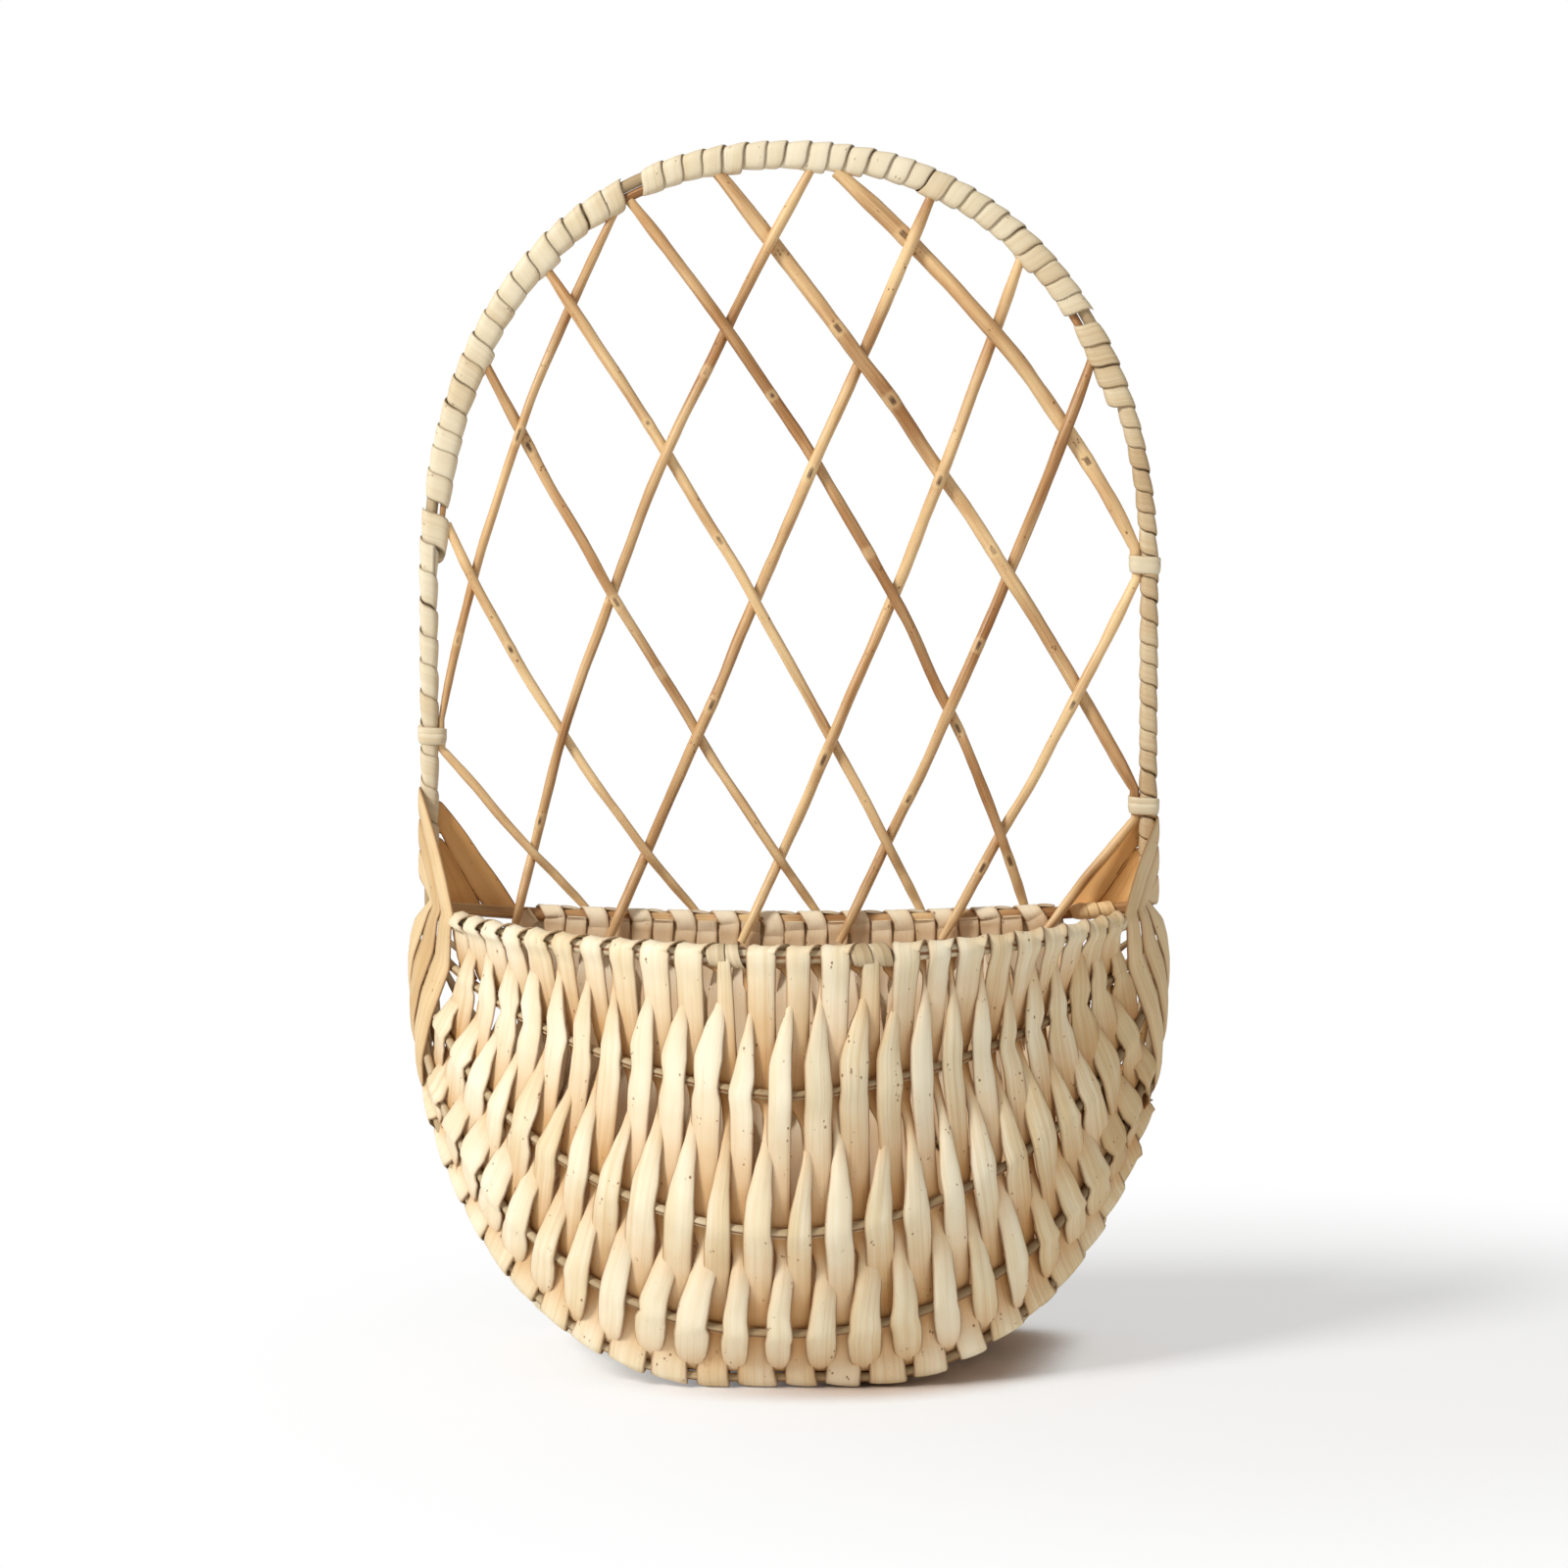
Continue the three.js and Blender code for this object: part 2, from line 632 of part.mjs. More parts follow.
function lashingRings({ side, legWidth }, share, onLeg) {
  const places = crossings(side * share);
  const awayFromPole = (place) => place.across.clone().multiplyScalar(-side);
  const widthOn = (place) => (place.pitch / COURSE_STEP) * LASHING_STEP * LASHING_FILL;
  const outwards = vec(side, 0, 0);
  const leg = vec(side * HOOP_HALF_WIDTH, 0, heightOnLeg(onLeg));
  const legReach = bindingReach + lashingOffset;
  const [atBack, backCorner, atSide] = cornerDirections(BACK, outwards);
  const frontCorner = backCorner.clone().setY(-backCorner.y);
  const legTurn = [atBack, backCorner, atSide, frontCorner].map((facing, i) => ({
    centre: moved(leg, facing, legReach * (i % 2 === 1 ? SQUARE_CORNER : 1)),
    across: UP,
    facing,
    width: legWidth,
  }));

  const rim = places[FRONT];
  const rimReach = cornerOffset(rim.radius) + LASHING_THICKNESS / 2;
  const rimTop = rim.out.clone().sub(rim.along).normalize();
  const rimTurn = [rimTop, rim.out].map((facing) => ({
    centre: moved(rim.point, facing, rimReach),
    across: awayFromPole(rim),
    facing,
    width: widthOn(rim),
  }));

  const [legOuter, overRim] = [legTurn[3].centre, rimTurn[0].centre];
  const twistAcross = between(UP, awayFromPole(rim), 0.5).normalize();
  const twistFacing = cross(heading(legOuter, overRim), twistAcross);
  const twist = {
    centre: between(legOuter, overRim, 0.5),
    across: twistAcross,
    facing: twistFacing.multiplyScalar(Math.sign(twistFacing.dot(outwards))),
    width: ((legWidth + widthOn(rim)) / 2) * LASHING_TWIST_FILL,
  };

  const overRibs = places.slice(1, HOOP_INDEX).map((place) => ({
    centre: moved(place.point, place.out, place.radius + lashingOffset),
    across: awayFromPole(place),
    facing: place.out,
    width: widthOn(place),
  }));
  const hoop = places[HOOP_INDEX];
  const hoopReach = cornerOffset(hoop.radius) + BEND_ROOM + LASHING_THICKNESS / 2;
  const hoopTurn = cornerDirections(hoop.out, BACK).map((facing) => ({
    centre: moved(hoop.point, facing, hoopReach),
    across: awayFromPole(hoop),
    facing,
    width: widthOn(hoop),
  }));
  return [...legTurn, twist, ...rimTurn, ...overRibs, ...hoopTurn].map((section) =>
    flatRing({ ...section, thickness: LASHING_THICKNESS }),
  );
}

// Inner lashings: short flat strips that close the corner between a leg and the back rim. They lie
// behind both, so that the lattice sticks pass in front of them.
const WRAP_REACH = cornerOffset(RIM_RADIUS) + WEAVER_THICKNESS;

function innerLashingRings({ side }, share, onLeg) {
  const inwards = vec(-side, 0, 0);
  const rim = crossings(side * share)[REAR];
  const legCentre = vec(side * HOOP_HALF_WIDTH, 0, heightOnLeg(onLeg));
  const legFacing = between(inwards, BACK, 0.5).normalize();
  const leg = moved(legCentre, legFacing, (bindingReach + lashingOffset) * SQUARE_CORNER);
  const low = moved(rim.point, BACK, WRAP_REACH + lashingOffset);
  return [
    { centre: leg, across: UP, facing: legFacing, width: INNER_LASHING_WIDTH },
    {
      centre: between(leg, low, 0.5),
      across: between(UP, inwards, 0.5).normalize(),
      facing: BACK,
      width: INNER_LASHING_WIDTH * LASHING_TWIST_FILL,
    },
    { centre: low, across: inwards, facing: BACK, width: INNER_LASHING_WIDTH },
  ].map((section) => flatRing({ ...section, thickness: LASHING_THICKNESS }));
}

SIDES.forEach((corner) => {
  LASHING_SHARES.forEach((share, n) => {
    const rings = lashingRings(corner, share, corner.onLeg[n]);
    addPiece(`${corner.name}_lashing_${n + 1}`, loft(rings), LASHING_STRIP);
  });
  INNER_LASHING_SHARES.forEach((share, n) => {
    const rings = innerLashingRings(corner, share, corner.innerOnLeg[n]);
    addPiece(`${corner.name}_inner_lashing_${n + 1}`, loft(rings), LASHING_STRIP);
  });
});

// Ties: flat bands round the bound legs of the hoop, with room beside the leg for the ends of two
// lattice sticks, one tucked in from above and one from below.
const TIES = {
  left_tie: { side: -1, onLeg: 0.558, room: 2.3 },
  right_upper_tie: { side: 1, onLeg: 1.067, room: 3.6 },
  right_lower_tie: { side: 1, onLeg: 0.348, room: 3.4 },
};

function roundedRectangle(path, [left, right], half, round) {
  path.moveTo(right, -half + round);
  path.lineTo(right, half - round);
  path.quadraticCurveTo(right, half, right - round, half);
  path.lineTo(left + round, half);
  path.quadraticCurveTo(left, half, left, half - round);
  path.lineTo(left, -half + round);
  path.quadraticCurveTo(left, -half, left + round, -half);
  path.lineTo(right - round, -half);
  path.quadraticCurveTo(right, -half, right, -half + round);
  return path;
}

Object.entries(TIES).forEach(([name, { side, onLeg, room }]) => {
  const half = bindingReach + SEAT;
  const roomy = half + room + SEAT;
  const hole = side < 0 ? [-half, roomy] : [-roomy, half];
  const outside = [hole[0] - TIE_THICKNESS, hole[1] + TIE_THICKNESS];
  const outerHalf = half + TIE_THICKNESS;
  const band = roundedRectangle(new THREE.Shape(), outside, outerHalf, TIE_OUTER_ROUND);
  band.holes.push(roundedRectangle(new THREE.Path(), hole, half, TIE_INNER_ROUND));
  const geometry = new THREE.ExtrudeGeometry(band, {
    depth: TIE_HEIGHT,
    bevelEnabled: false,
    curveSegments: 2,
  });
  const tie = addPiece(name, geometry, BINDING_STRIP);
  tie.position.set(side * HOOP_HALF_WIDTH, 0, heightOnLeg(onLeg) - TIE_HEIGHT / 2);
});

// The lattice: two families of round sticks that cross over and under each other in the plane of
// the hoop. A falling stick runs down to the right, a rising one down to the left. It starts in a
// direction on the arch, or in a tie, and ends on the back rim, at a share of the way from its
// middle to its side, or in a tie. The bow is how far the middle of the stick lies to the right of
// a straight line.
const FALLING_STICKS = [
  { from: "left_tie", rimShare: -0.553, bow: 0, radius: 1.7 },
  { direction: -81, rimShare: -0.241, bow: -8, radius: 1.8 },
  { direction: -55, rimShare: 0.099, bow: -5, radius: 1.9 },
  { direction: -38, rimShare: 0.39, bow: 6, radius: 2.0 },
  { direction: -22.4, rimShare: 0.681, bow: 17, radius: 2.1 },
  { direction: -9.3, to: "right_lower_tie", bow: 8, radius: 2.7 },
  { direction: 7.4, to: "right_upper_tie", bow: 12, radius: 2.9 },
];
const RISING_STICKS = [
  { direction: -26.2, to: "left_tie", bow: -8, radius: 1.7 },
  { direction: 2.8, rimShare: -0.78, bow: -14, radius: 1.9 },
  { direction: 20.3, rimShare: -0.51, bow: 0, radius: 2.1 },
  { direction: 36.1, rimShare: -0.135, bow: 4, radius: 2.1 },
  { direction: 54.6, rimShare: 0.142, bow: 4, radius: 2.1 },
  { from: "right_upper_tie", rimShare: 0.432, bow: 2, radius: 2.0 },
  { from: "right_lower_tie", rimShare: 0.716, bow: 0, radius: 2.0 },
];
const STICK_TIP_SHARE = 0.6;
const STICK_TIP_LENGTH = 14;
const STICK_TAPER = 0.18;
const STICK_STEP = 24;

// At the back rim a stick starts to lean this far above it, and passes its strips close by. It ends
// below the middle of the rim by the hook's drop in front, and by the stub's drop behind.
const LEAN_HEIGHT = 16;
const LEAN_OFFSET = 1.6;
const LEAN_SHARE = 0.82;
const HOOK_DROP = 8;
const STUB_DROP = 1;

// In a tie a stick runs upright for the length of its tuck, and it bends this far outside the tie.
const TUCK = 3.4;
const TIE_CLEARANCE = 1.5;

// A place on the inner face of the bound hoop.
function seatAt(u, tipRadius) {
  const inward = cross(BACK, smoothArch.getTangentAt(u));
  const reach = bundleReach(u) + SEAT + BINDING_THICKNESS + SEAT + tipRadius;
  return moved(arch.getPointAt(u), inward, reach);
}

// The place where a stick comes out of a tie, above it or below it, and the end of its tuck.
function tuckedEnd(name, above, tipRadius) {
  const { side, onLeg } = TIES[name];
  const seat = seatAt(placeOnLeg(side, onLeg), tipRadius);
  const edge = heightOnLeg(onLeg) + (above * TIE_HEIGHT) / 2;
  return {
    exit: seat.clone().setZ(edge + above * TIE_CLEARANCE),
    tuck: seat.clone().setZ(edge - above * TUCK),
  };
}

function plannedStick({ direction, from, rimShare, to, bow, radius }, hooked) {
  const tipRadius = radius * STICK_TIP_SHARE;
  const start = from
    ? tuckedEnd(from, -1, tipRadius)
    : { exit: seatAt(placeInDirection(direction), tipRadius) };
  const onRim = rimShare !== undefined;
  const x = rimShare * BACK_RIM_HALF_WIDTH;
  const end = onRim
    ? { exit: vec(x, 0, rimHeightAt(x) - (hooked ? HOOK_DROP : STUB_DROP)) }
    : tuckedEnd(to, 1, tipRadius);
  const control = between(start.exit, end.exit, 0.5).add(vec(2 * bow, 0, 0));
  const line = new THREE.QuadraticBezierCurve3(start.exit, control, end.exit);
  return { line, radius, onRim, hooked, startTuck: start.tuck, endTuck: end.tuck, meets: [] };
}

const falling = FALLING_STICKS.map((stick) => plannedStick(stick, false));
const rising = RISING_STICKS.map((stick) => plannedStick(stick, true));

// Where two sticks cross in the plane of the hoop, as shares of their lengths, or nothing. Close to
// an end of either, they count as apart.
const NEAR_END = 0.03;

function crossingOf(first, second) {
  let [t, u] = [0.5, 0.5];
  for (let i = 0; i < 20; i += 1) {
    const gap = second.line.getPoint(u).sub(first.line.getPoint(t));
    const a = first.line.getTangent(t).multiplyScalar(first.line.getLength());
    const b = second.line.getTangent(u).multiplyScalar(-second.line.getLength());
    const size = a.x * b.z - a.z * b.x;
    t += (gap.x * b.z - gap.z * b.x) / size;
    u += (a.x * gap.z - a.z * gap.x) / size;
    if (Math.abs(t) > 2 || Math.abs(u) > 2) return null;
  }
  const inside = (share) => share > NEAR_END && share < 1 - NEAR_END;
  return inside(t) && inside(u) ? { t, u } : null;
}

// A stick is thinner at its tips, and a little thinner at the lower end than at the upper one.
function stickRadius({ radius, line }, t) {
  const length = line.getLength();
  const fromTip = (Math.min(t, 1 - t) * length) / STICK_TIP_LENGTH;
  const tip = STICK_TIP_SHARE + (1 - STICK_TIP_SHARE) * Math.min(1, fromTip);
  return radius * (1 + STICK_TAPER * (0.5 - t)) * tip;
}

falling.forEach((first, i) => {
  rising.forEach((second, j) => {
    const met = crossingOf(first, second);
    if (!met) return;
    const front = (i + j) % 2 === 1 ? 1 : -1;
    const [a, b] = [stickRadius(first, met.t), stickRadius(second, met.u)];
    const apart = a + b + SEAT;
    first.meets.push({ t: met.t, y: (-front * apart) / 2 });
    second.meets.push({ t: met.u, y: (front * apart) / 2 });
  });
});

// How far a stick lies in front of or behind the plane of the hoop, as knots along it. At the back
// rim a falling stick goes behind the strips that wrap it, a rising one in front of them.
function stickKnots(stick) {
  const knots = [{ t: 0, y: 0 }, ...stick.meets.sort((a, b) => a.t - b.t)];
  if (!stick.onRim) return [...knots, { t: 1, y: 0 }];
  const side = stick.hooked ? -1 : 1;
  const foot = stick.line.getPoint(1);
  const rimHeight = rimHeightAt(foot.x);
  const shareAt = (height) => {
    const top = stick.line.getPoint(0);
    return (top.z - height) / (top.z - foot.z);
  };
  const besideRim = WRAP_REACH + SEAT + stick.radius;
  knots.push({ t: shareAt(rimHeight + LEAN_HEIGHT), y: side * LEAN_OFFSET });
  knots.push({ t: shareAt(rimHeight + WRAP_REACH), y: side * besideRim * LEAN_SHARE });
  knots.push({ t: shareAt(rimHeight + STUB_DROP), y: side * besideRim });
  knots.push({ t: 1, y: side * besideRim });
  return knots;
}

function stickRings(stick) {
  const knots = stickKnots(stick);
  const length = stick.line.getLength();
  const stations = [];
  knots.slice(1).forEach((knot, i) => {
    const start = knots[i];
    const parts = Math.max(1, Math.round(((knot.t - start.t) * length) / STICK_STEP));
    for (let k = 0; k < parts; k += 1) {
      const share = k / parts;
      const ease = (1 - Math.cos(Math.PI * share)) / 2;
      stations.push({
        t: start.t + (knot.t - start.t) * share,
        y: start.y + (knot.y - start.y) * ease,
      });
    }
  });
  stations.push(knots[knots.length - 1]);
  const down = vec(0, 0, -1);
  const rings = stations.map(({ t, y }) => {
    const centre = stick.line.getPoint(t).setY(y);
    const isTied = (t === 0 && stick.startTuck) || (t === 1 && stick.endTuck);
    const along = stick.line.getTangent(t);
    const turned = isTied ? between(along, down, 0.5).normalize() : along;
    return roundRing(centre, turned, BACK, stickRadius(stick, t), STICK_SIDES);
  });
  const tuckRing = (tuck, t) => roundRing(tuck, down, BACK, stickRadius(stick, t), STICK_SIDES);
  if (stick.startTuck) rings.unshift(tuckRing(stick.startTuck, 0));
  if (stick.endTuck) rings.push(tuckRing(stick.endTuck, 1));
  return rings;
}

falling.forEach((stick, i) => addPiece(`falling_stick_${i + 1}`, loft(stickRings(stick)), ROUND_STICK));
rising.forEach((stick, i) => addPiece(`rising_stick_${i + 1}`, loft(stickRings(stick)), ROUND_STICK));

// The basket stands on the floor with its bounding box centred about the origin.
basket.updateMatrixWorld(true);
const extent = new THREE.Box3().setFromObject(basket);
const middle = extent.getCenter(vec(0, 0, 0));
basket.children.forEach((piece) => piece.position.sub(vec(middle.x, middle.y, extent.min.z)));

export default basket;
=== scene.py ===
# %% [markdown]
# # A wall basket of split willow
# The basket is a half-round pocket woven from split willow strips, hung under a tall bound arch
# that a lattice of round sticks fills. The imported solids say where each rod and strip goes. This
# script dresses them, one piece for each solid, so it starts by loading them.

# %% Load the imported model
import math

import bpy
import numpy as np
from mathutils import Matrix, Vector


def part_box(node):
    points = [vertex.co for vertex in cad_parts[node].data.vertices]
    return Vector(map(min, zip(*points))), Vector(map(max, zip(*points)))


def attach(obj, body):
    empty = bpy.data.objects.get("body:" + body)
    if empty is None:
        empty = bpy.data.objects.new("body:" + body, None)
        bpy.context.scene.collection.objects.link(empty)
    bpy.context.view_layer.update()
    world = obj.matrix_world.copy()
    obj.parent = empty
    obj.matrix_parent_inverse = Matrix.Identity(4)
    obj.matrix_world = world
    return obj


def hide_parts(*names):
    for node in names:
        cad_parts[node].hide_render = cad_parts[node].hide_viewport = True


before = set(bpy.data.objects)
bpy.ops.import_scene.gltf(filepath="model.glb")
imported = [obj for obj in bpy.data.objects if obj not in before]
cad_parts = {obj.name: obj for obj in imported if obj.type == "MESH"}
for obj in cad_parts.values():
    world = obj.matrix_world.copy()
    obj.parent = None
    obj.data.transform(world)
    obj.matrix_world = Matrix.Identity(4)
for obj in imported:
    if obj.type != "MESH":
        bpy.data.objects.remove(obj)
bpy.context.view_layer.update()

# %% [markdown]
# The camera comes first, because everything else is judged through it. The photograph looks at
# the basket from straight in front and a few degrees above it, through a long lens, so the hoop
# shows almost as it is and the rim opens a little. A camera can be pushed about by hand until it
# looks right, but a distance, a pitch and a focal length can be corrected one at a time.

# %% Set up the camera
hoop_low, hoop_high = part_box("hoop_rod")
HOOP_Y = (hoop_low[1] + hoop_high[1]) / 2
LOOK_AT = np.array([0.0, HOOP_Y, 0.221])
CAMERA_DISTANCE = 1.5
CAMERA_PITCH = math.radians(3.5)
FOCAL_MM, SENSOR_MM = 86.06, 36
IMAGE_SIZE = 1600
TARGET_PIXEL_X = 805

camera_data = bpy.data.cameras.new("camera")
camera_data.sensor_width = SENSOR_MM
camera_data.lens = FOCAL_MM
camera_data.shift_x = (IMAGE_SIZE / 2 - TARGET_PIXEL_X) / IMAGE_SIZE
camera = bpy.data.objects.new("camera", camera_data)
forward = np.array([0.0, math.cos(CAMERA_PITCH), -math.sin(CAMERA_PITCH)])
camera.location = LOOK_AT - forward * CAMERA_DISTANCE
camera.rotation_euler = (math.pi / 2 - CAMERA_PITCH, 0, 0)
bpy.context.scene.collection.objects.link(camera)
bpy.context.scene.camera = camera
print("camera at", tuple(round(v, 3) for v in camera.location))

# %% [markdown]
# Every material and every Geometry Nodes tree below is written as plain maths. A wire is one
# output of a node, and adding or multiplying wires adds the nodes that do it. Nodes can be placed
# one by one instead, but then nobody can read the formula back. Numbers alone are worked out in
# Python. A workbench holds one node tree and places every other kind of node.

# %% A wire and a workbench for node trees
class Wire:
    def __init__(self, bench, socket):
        self.bench, self.socket = bench, socket
        self.is_vector = socket.type in {"VECTOR", "RGBA"}

    def __add__(self, other): return self.bench.maths("ADD", self, other)
    def __radd__(self, other): return self.bench.maths("ADD", other, self)
    def __sub__(self, other): return self.bench.maths("SUBTRACT", self, other)
    def __rsub__(self, other): return self.bench.maths("SUBTRACT", other, self)
    def __mul__(self, other): return self.bench.maths("MULTIPLY", self, other)
    def __rmul__(self, other): return self.bench.maths("MULTIPLY", other, self)
    def __truediv__(self, other): return self.bench.maths("DIVIDE", self, other)
    def __rtruediv__(self, other): return self.bench.maths("DIVIDE", other, self)
    def __pow__(self, other): return self.bench.maths("POWER", self, other)
    def __abs__(self): return self.bench.maths("ABSOLUTE", self)


def found(sockets, key):
    """The socket in use that has this identifier, or else this name."""
    usable = [s for s in sockets if s.enabled]
    by_identifier = [s for s in usable if s.identifier == key]
    return (by_identifier or [s for s in usable if s.name == key])[0]


class Workbench:
    def __init__(self, tree):
        self.tree = tree

    def feed(self, socket, value):
        if isinstance(value, Wire):
            self.tree.links.new(value.socket, socket)
        elif value is not None:
            socket.default_value = value

    def node(self, kind, settings=None, values=None, output=0):
        made = self.tree.nodes.new(kind)
        for name, setting in (settings or {}).items():
            setattr(made, name, setting)
        for name, value in (values or {}).items():
            self.feed(found(made.inputs, name), value)
        outputs = [s for s in made.outputs if s.enabled]
        if not outputs:
            return made
        return Wire(self, outputs[output] if isinstance(output, int) else found(outputs, output))

    def maths(self, operation, *values):
        """A Math node, or a Vector Math node where one of the values is a vector."""
        is_vector = any(isinstance(v, tuple) or isinstance(v, Wire) and v.is_vector for v in values)
        made = self.tree.nodes.new("ShaderNodeVectorMath" if is_vector else "ShaderNodeMath")
        made.operation = operation
        for socket, value in zip(made.inputs, values):
            is_plain = is_vector and isinstance(value, (int, float))
            self.feed(socket, (value,) * 3 if is_plain else value)
        return Wire(self, made.outputs[0])

    def between(self, value, low, high):
        """0 at low, 1 at high and smooth on the way."""
        return self.node("ShaderNodeMapRange", {"interpolation_type": "SMOOTHSTEP"},
                         {"Value": value, "From Min": low, "From Max": high})

    def blend(self, share, first, second, way="MIX"):
        """The first colour where the share is 0, and the second one where it is 1."""
        return self.node("ShaderNodeMix", {"data_type": "RGBA", "blend_type": way},
                         {"Factor_Float": share, "A_Color": first, "B_Color": second})


def srgb(red, green, blue):
    """A colour picked on a screen, as the linear colour that a shader wants."""
    linear = [c / 255 / 12.92 if c <= 10 else ((c / 255 + 0.055) / 1.055) ** 2.4
              for c in (red, green, blue)]
    return (*linear, 1.0)


# %% [markdown]
# ## The lines that the rods follow
# A rib basket starts from bent rods. Each is a bow in its own plane from one side of the basket
# to the other, and all of them meet at the two poles where the rim crosses the hoop. They could
# be drawn as curves by hand, but a formula keeps every rod smooth, and the weave can ask any rod
# for any place on it. The sizes are those of the solids, in millimetres from the floor and from
# the plane of the hoop.

# %% A line that is read by its length
NEARBY = 0.0015


def run_along(points):
    """How far along a chain of points each of them lies."""
    steps = np.linalg.norm(np.diff(points, axis=0), axis=1)
    return np.concatenate([[0.0], np.cumsum(steps)])


def unit(vectors):
    vectors = np.asarray(vectors, float)
    return vectors / np.maximum(np.linalg.norm(vectors, axis=-1, keepdims=True), 1e-12)


def cross(first, second):
    return unit(np.cross(first, second))


class Line:
    """A chain of points. A place on it is told as a share of its length, from 0 to 1."""

    def __init__(self, points):
        self.points = np.asarray(points, float)
        self.run = run_along(self.points)
        self.length = self.run[-1]

    def at(self, share):
        where = np.clip(share, 0, 1) * self.length
        return np.stack([np.interp(where, self.run, self.points[:, k]) for k in range(3)], axis=-1)

    def heading(self, share):
        share = np.asarray(share)
        return unit(self.at(share + NEARBY) - self.at(share - NEARBY))


# %% The shapes that a rod is bent to
BOW_POINTS = 1601


def bow(half_width, pole, middle, power, flat=0.0):
    """A rod from pole to pole. A power of 2 bends it to an ellipse and a higher one to a squarer
    bow, and flat is half the length of a straight stretch in its middle."""
    turn = (np.linspace(0, 1, BOW_POINTS) - 0.5) * math.pi
    outward = np.abs(np.sin(turn))
    flat_end = flat / half_width
    angle = np.clip((outward - flat_end) / (1 - flat_end), 0, 1) * math.pi / 2
    x = flat * np.minimum(1, outward / max(flat_end, 1e-9))
    x = x + (half_width - flat) * np.sin(angle) ** (2 / power)
    share = np.maximum(0, np.cos(angle)) ** (2 / power)
    pole, middle = np.array(pole, float), np.array(middle, float)
    points = pole + share[:, None] * (middle - pole)
    points[:, 0] = np.sign(turn) * x
    return Line(points)


def drawn(start, control, end, count):
    """A line from start to end that is drawn towards a control point on the way."""
    t = np.linspace(0, 1, count)[:, None]
    return (1 - t) ** 2 * start + 2 * t * (1 - t) * control + t**2 * end


# %% The rods of the pocket
HALF_WIDTH, DEPTH = 143.7, 140
RIM_HEIGHT = 166.5
POLE_HEIGHT = RIM_HEIGHT - 4.5
HOOP_R, RIM_R, RIB_R, LINER_R = 2.35, 2.6, 1.85, 1.75
UP, BACK = np.array([0.0, 0.0, 1.0]), np.array([0.0, 1.0, 0.0])

front_rim = bow(HALF_WIDTH - HOOP_R, (0, -5.25, RIM_HEIGHT + 7), (0, -DEPTH, RIM_HEIGHT), 1.85)
lower_hoop = bow(HALF_WIDTH, (0, 0, POLE_HEIGHT), (0, 0, 4.47), 2.07, flat=65)
rib_lines = {
    "upper_front_rib": bow(147, (0, -6, 170), (0, -143, 116), 1.55),
    "middle_front_rib": bow(148, (0, -6, 166), (0, -136, 64), 1.8),
    "lower_front_rib": bow(148.5, (0, -6, 162), (0, -119, 23.5), 2.06),
    "base_edge_rib": bow(148.5, (0, -6, 157), (0, -104, 3.95), 2, flat=25),
    "base_rib": bow(146, (0, -6, 155), (0, -52, 3.35), 2.05, flat=50),
}
back_rib_lines = {
    "lower_back_rib": bow(139.2, (0, 0, 152), (0, 0, 58), 1.5),
    "upper_back_rib": bow(139.2, (0, 0, 161), (0, 0, 113), 1.35),
}
RIM_END_X = HALF_WIDTH - HOOP_R - 0.3
rim_ends = [np.array([x, 0, RIM_HEIGHT + 5]) for x in (-RIM_END_X, RIM_END_X)]
back_rim = Line(drawn(rim_ends[0], np.array([0, 0, RIM_HEIGHT - 6]), rim_ends[1], 401))
carriers = [(front_rim, RIM_R), *((line, RIB_R) for line in rib_lines.values()),
            (lower_hoop, HOOP_R), *((line, RIB_R) for line in back_rib_lines.values()),
            (back_rim, RIM_R)]
print("rim", round(front_rim.length), "mm round the front,", len(carriers), "rods to weave on")

# %% The arch
HOOP_TOP, SPRING, ARCH_POWER = 472.6, 300, 2.2
angles = np.linspace(math.pi, 0, BOW_POINTS)
across_arch = np.sign(np.cos(angles)) * np.abs(np.cos(angles)) ** (2 / ARCH_POWER)
up_arch = np.maximum(0, np.sin(angles)) ** (2 / ARCH_POWER)
crown = np.stack([across_arch * HALF_WIDTH, np.zeros_like(angles),
                  SPRING + (HOOP_TOP - SPRING) * up_arch], axis=1)
foot = np.array([[HALF_WIDTH, 0, POLE_HEIGHT]])
arch = Line(np.concatenate([foot * [-1, 1, 1], crown, foot]))
arch_u = np.linspace(0, 1, 4001)
arch_points = arch.at(arch_u)
print("arch", round(arch.length), "mm from side to side")


def inward(u):
    return cross(BACK, arch.heading(u))


def leg_height(share):
    """The height at a share of the way up the straight leg."""
    return RIM_HEIGHT + share * (SPRING - RIM_HEIGHT)


def place_on_leg(side, share):
    half = arch_u < 0.5 if side < 0 else arch_u > 0.5
    return arch_u[half][np.argmin(np.abs(arch_points[half, 2] - leg_height(share)))]


def place_in_direction(degrees):
    """The place on the arch in this direction from its centre, counted from straight up."""
    toward = np.degrees(np.arctan2(arch_points[:, 0], arch_points[:, 2] - SPRING))
    return arch_u[np.argmin(np.abs(toward - degrees))]


# %% [markdown]
# ## One tree for every strip and rod
# Everything on this basket is a length of willow that follows a path: a round rod, a split rod or
# a flat strip. A curve with a bevel would do for the rods, but a strip changes its width, its cup
# and the way it faces as it goes. So one Geometry Nodes tree makes them all. Each path is a chain
# of points that carries its own width, thickness, cup and facing, and the tree lays a section on
# every point. It also leaves the way of the fibres on the surface, for the materials to follow.

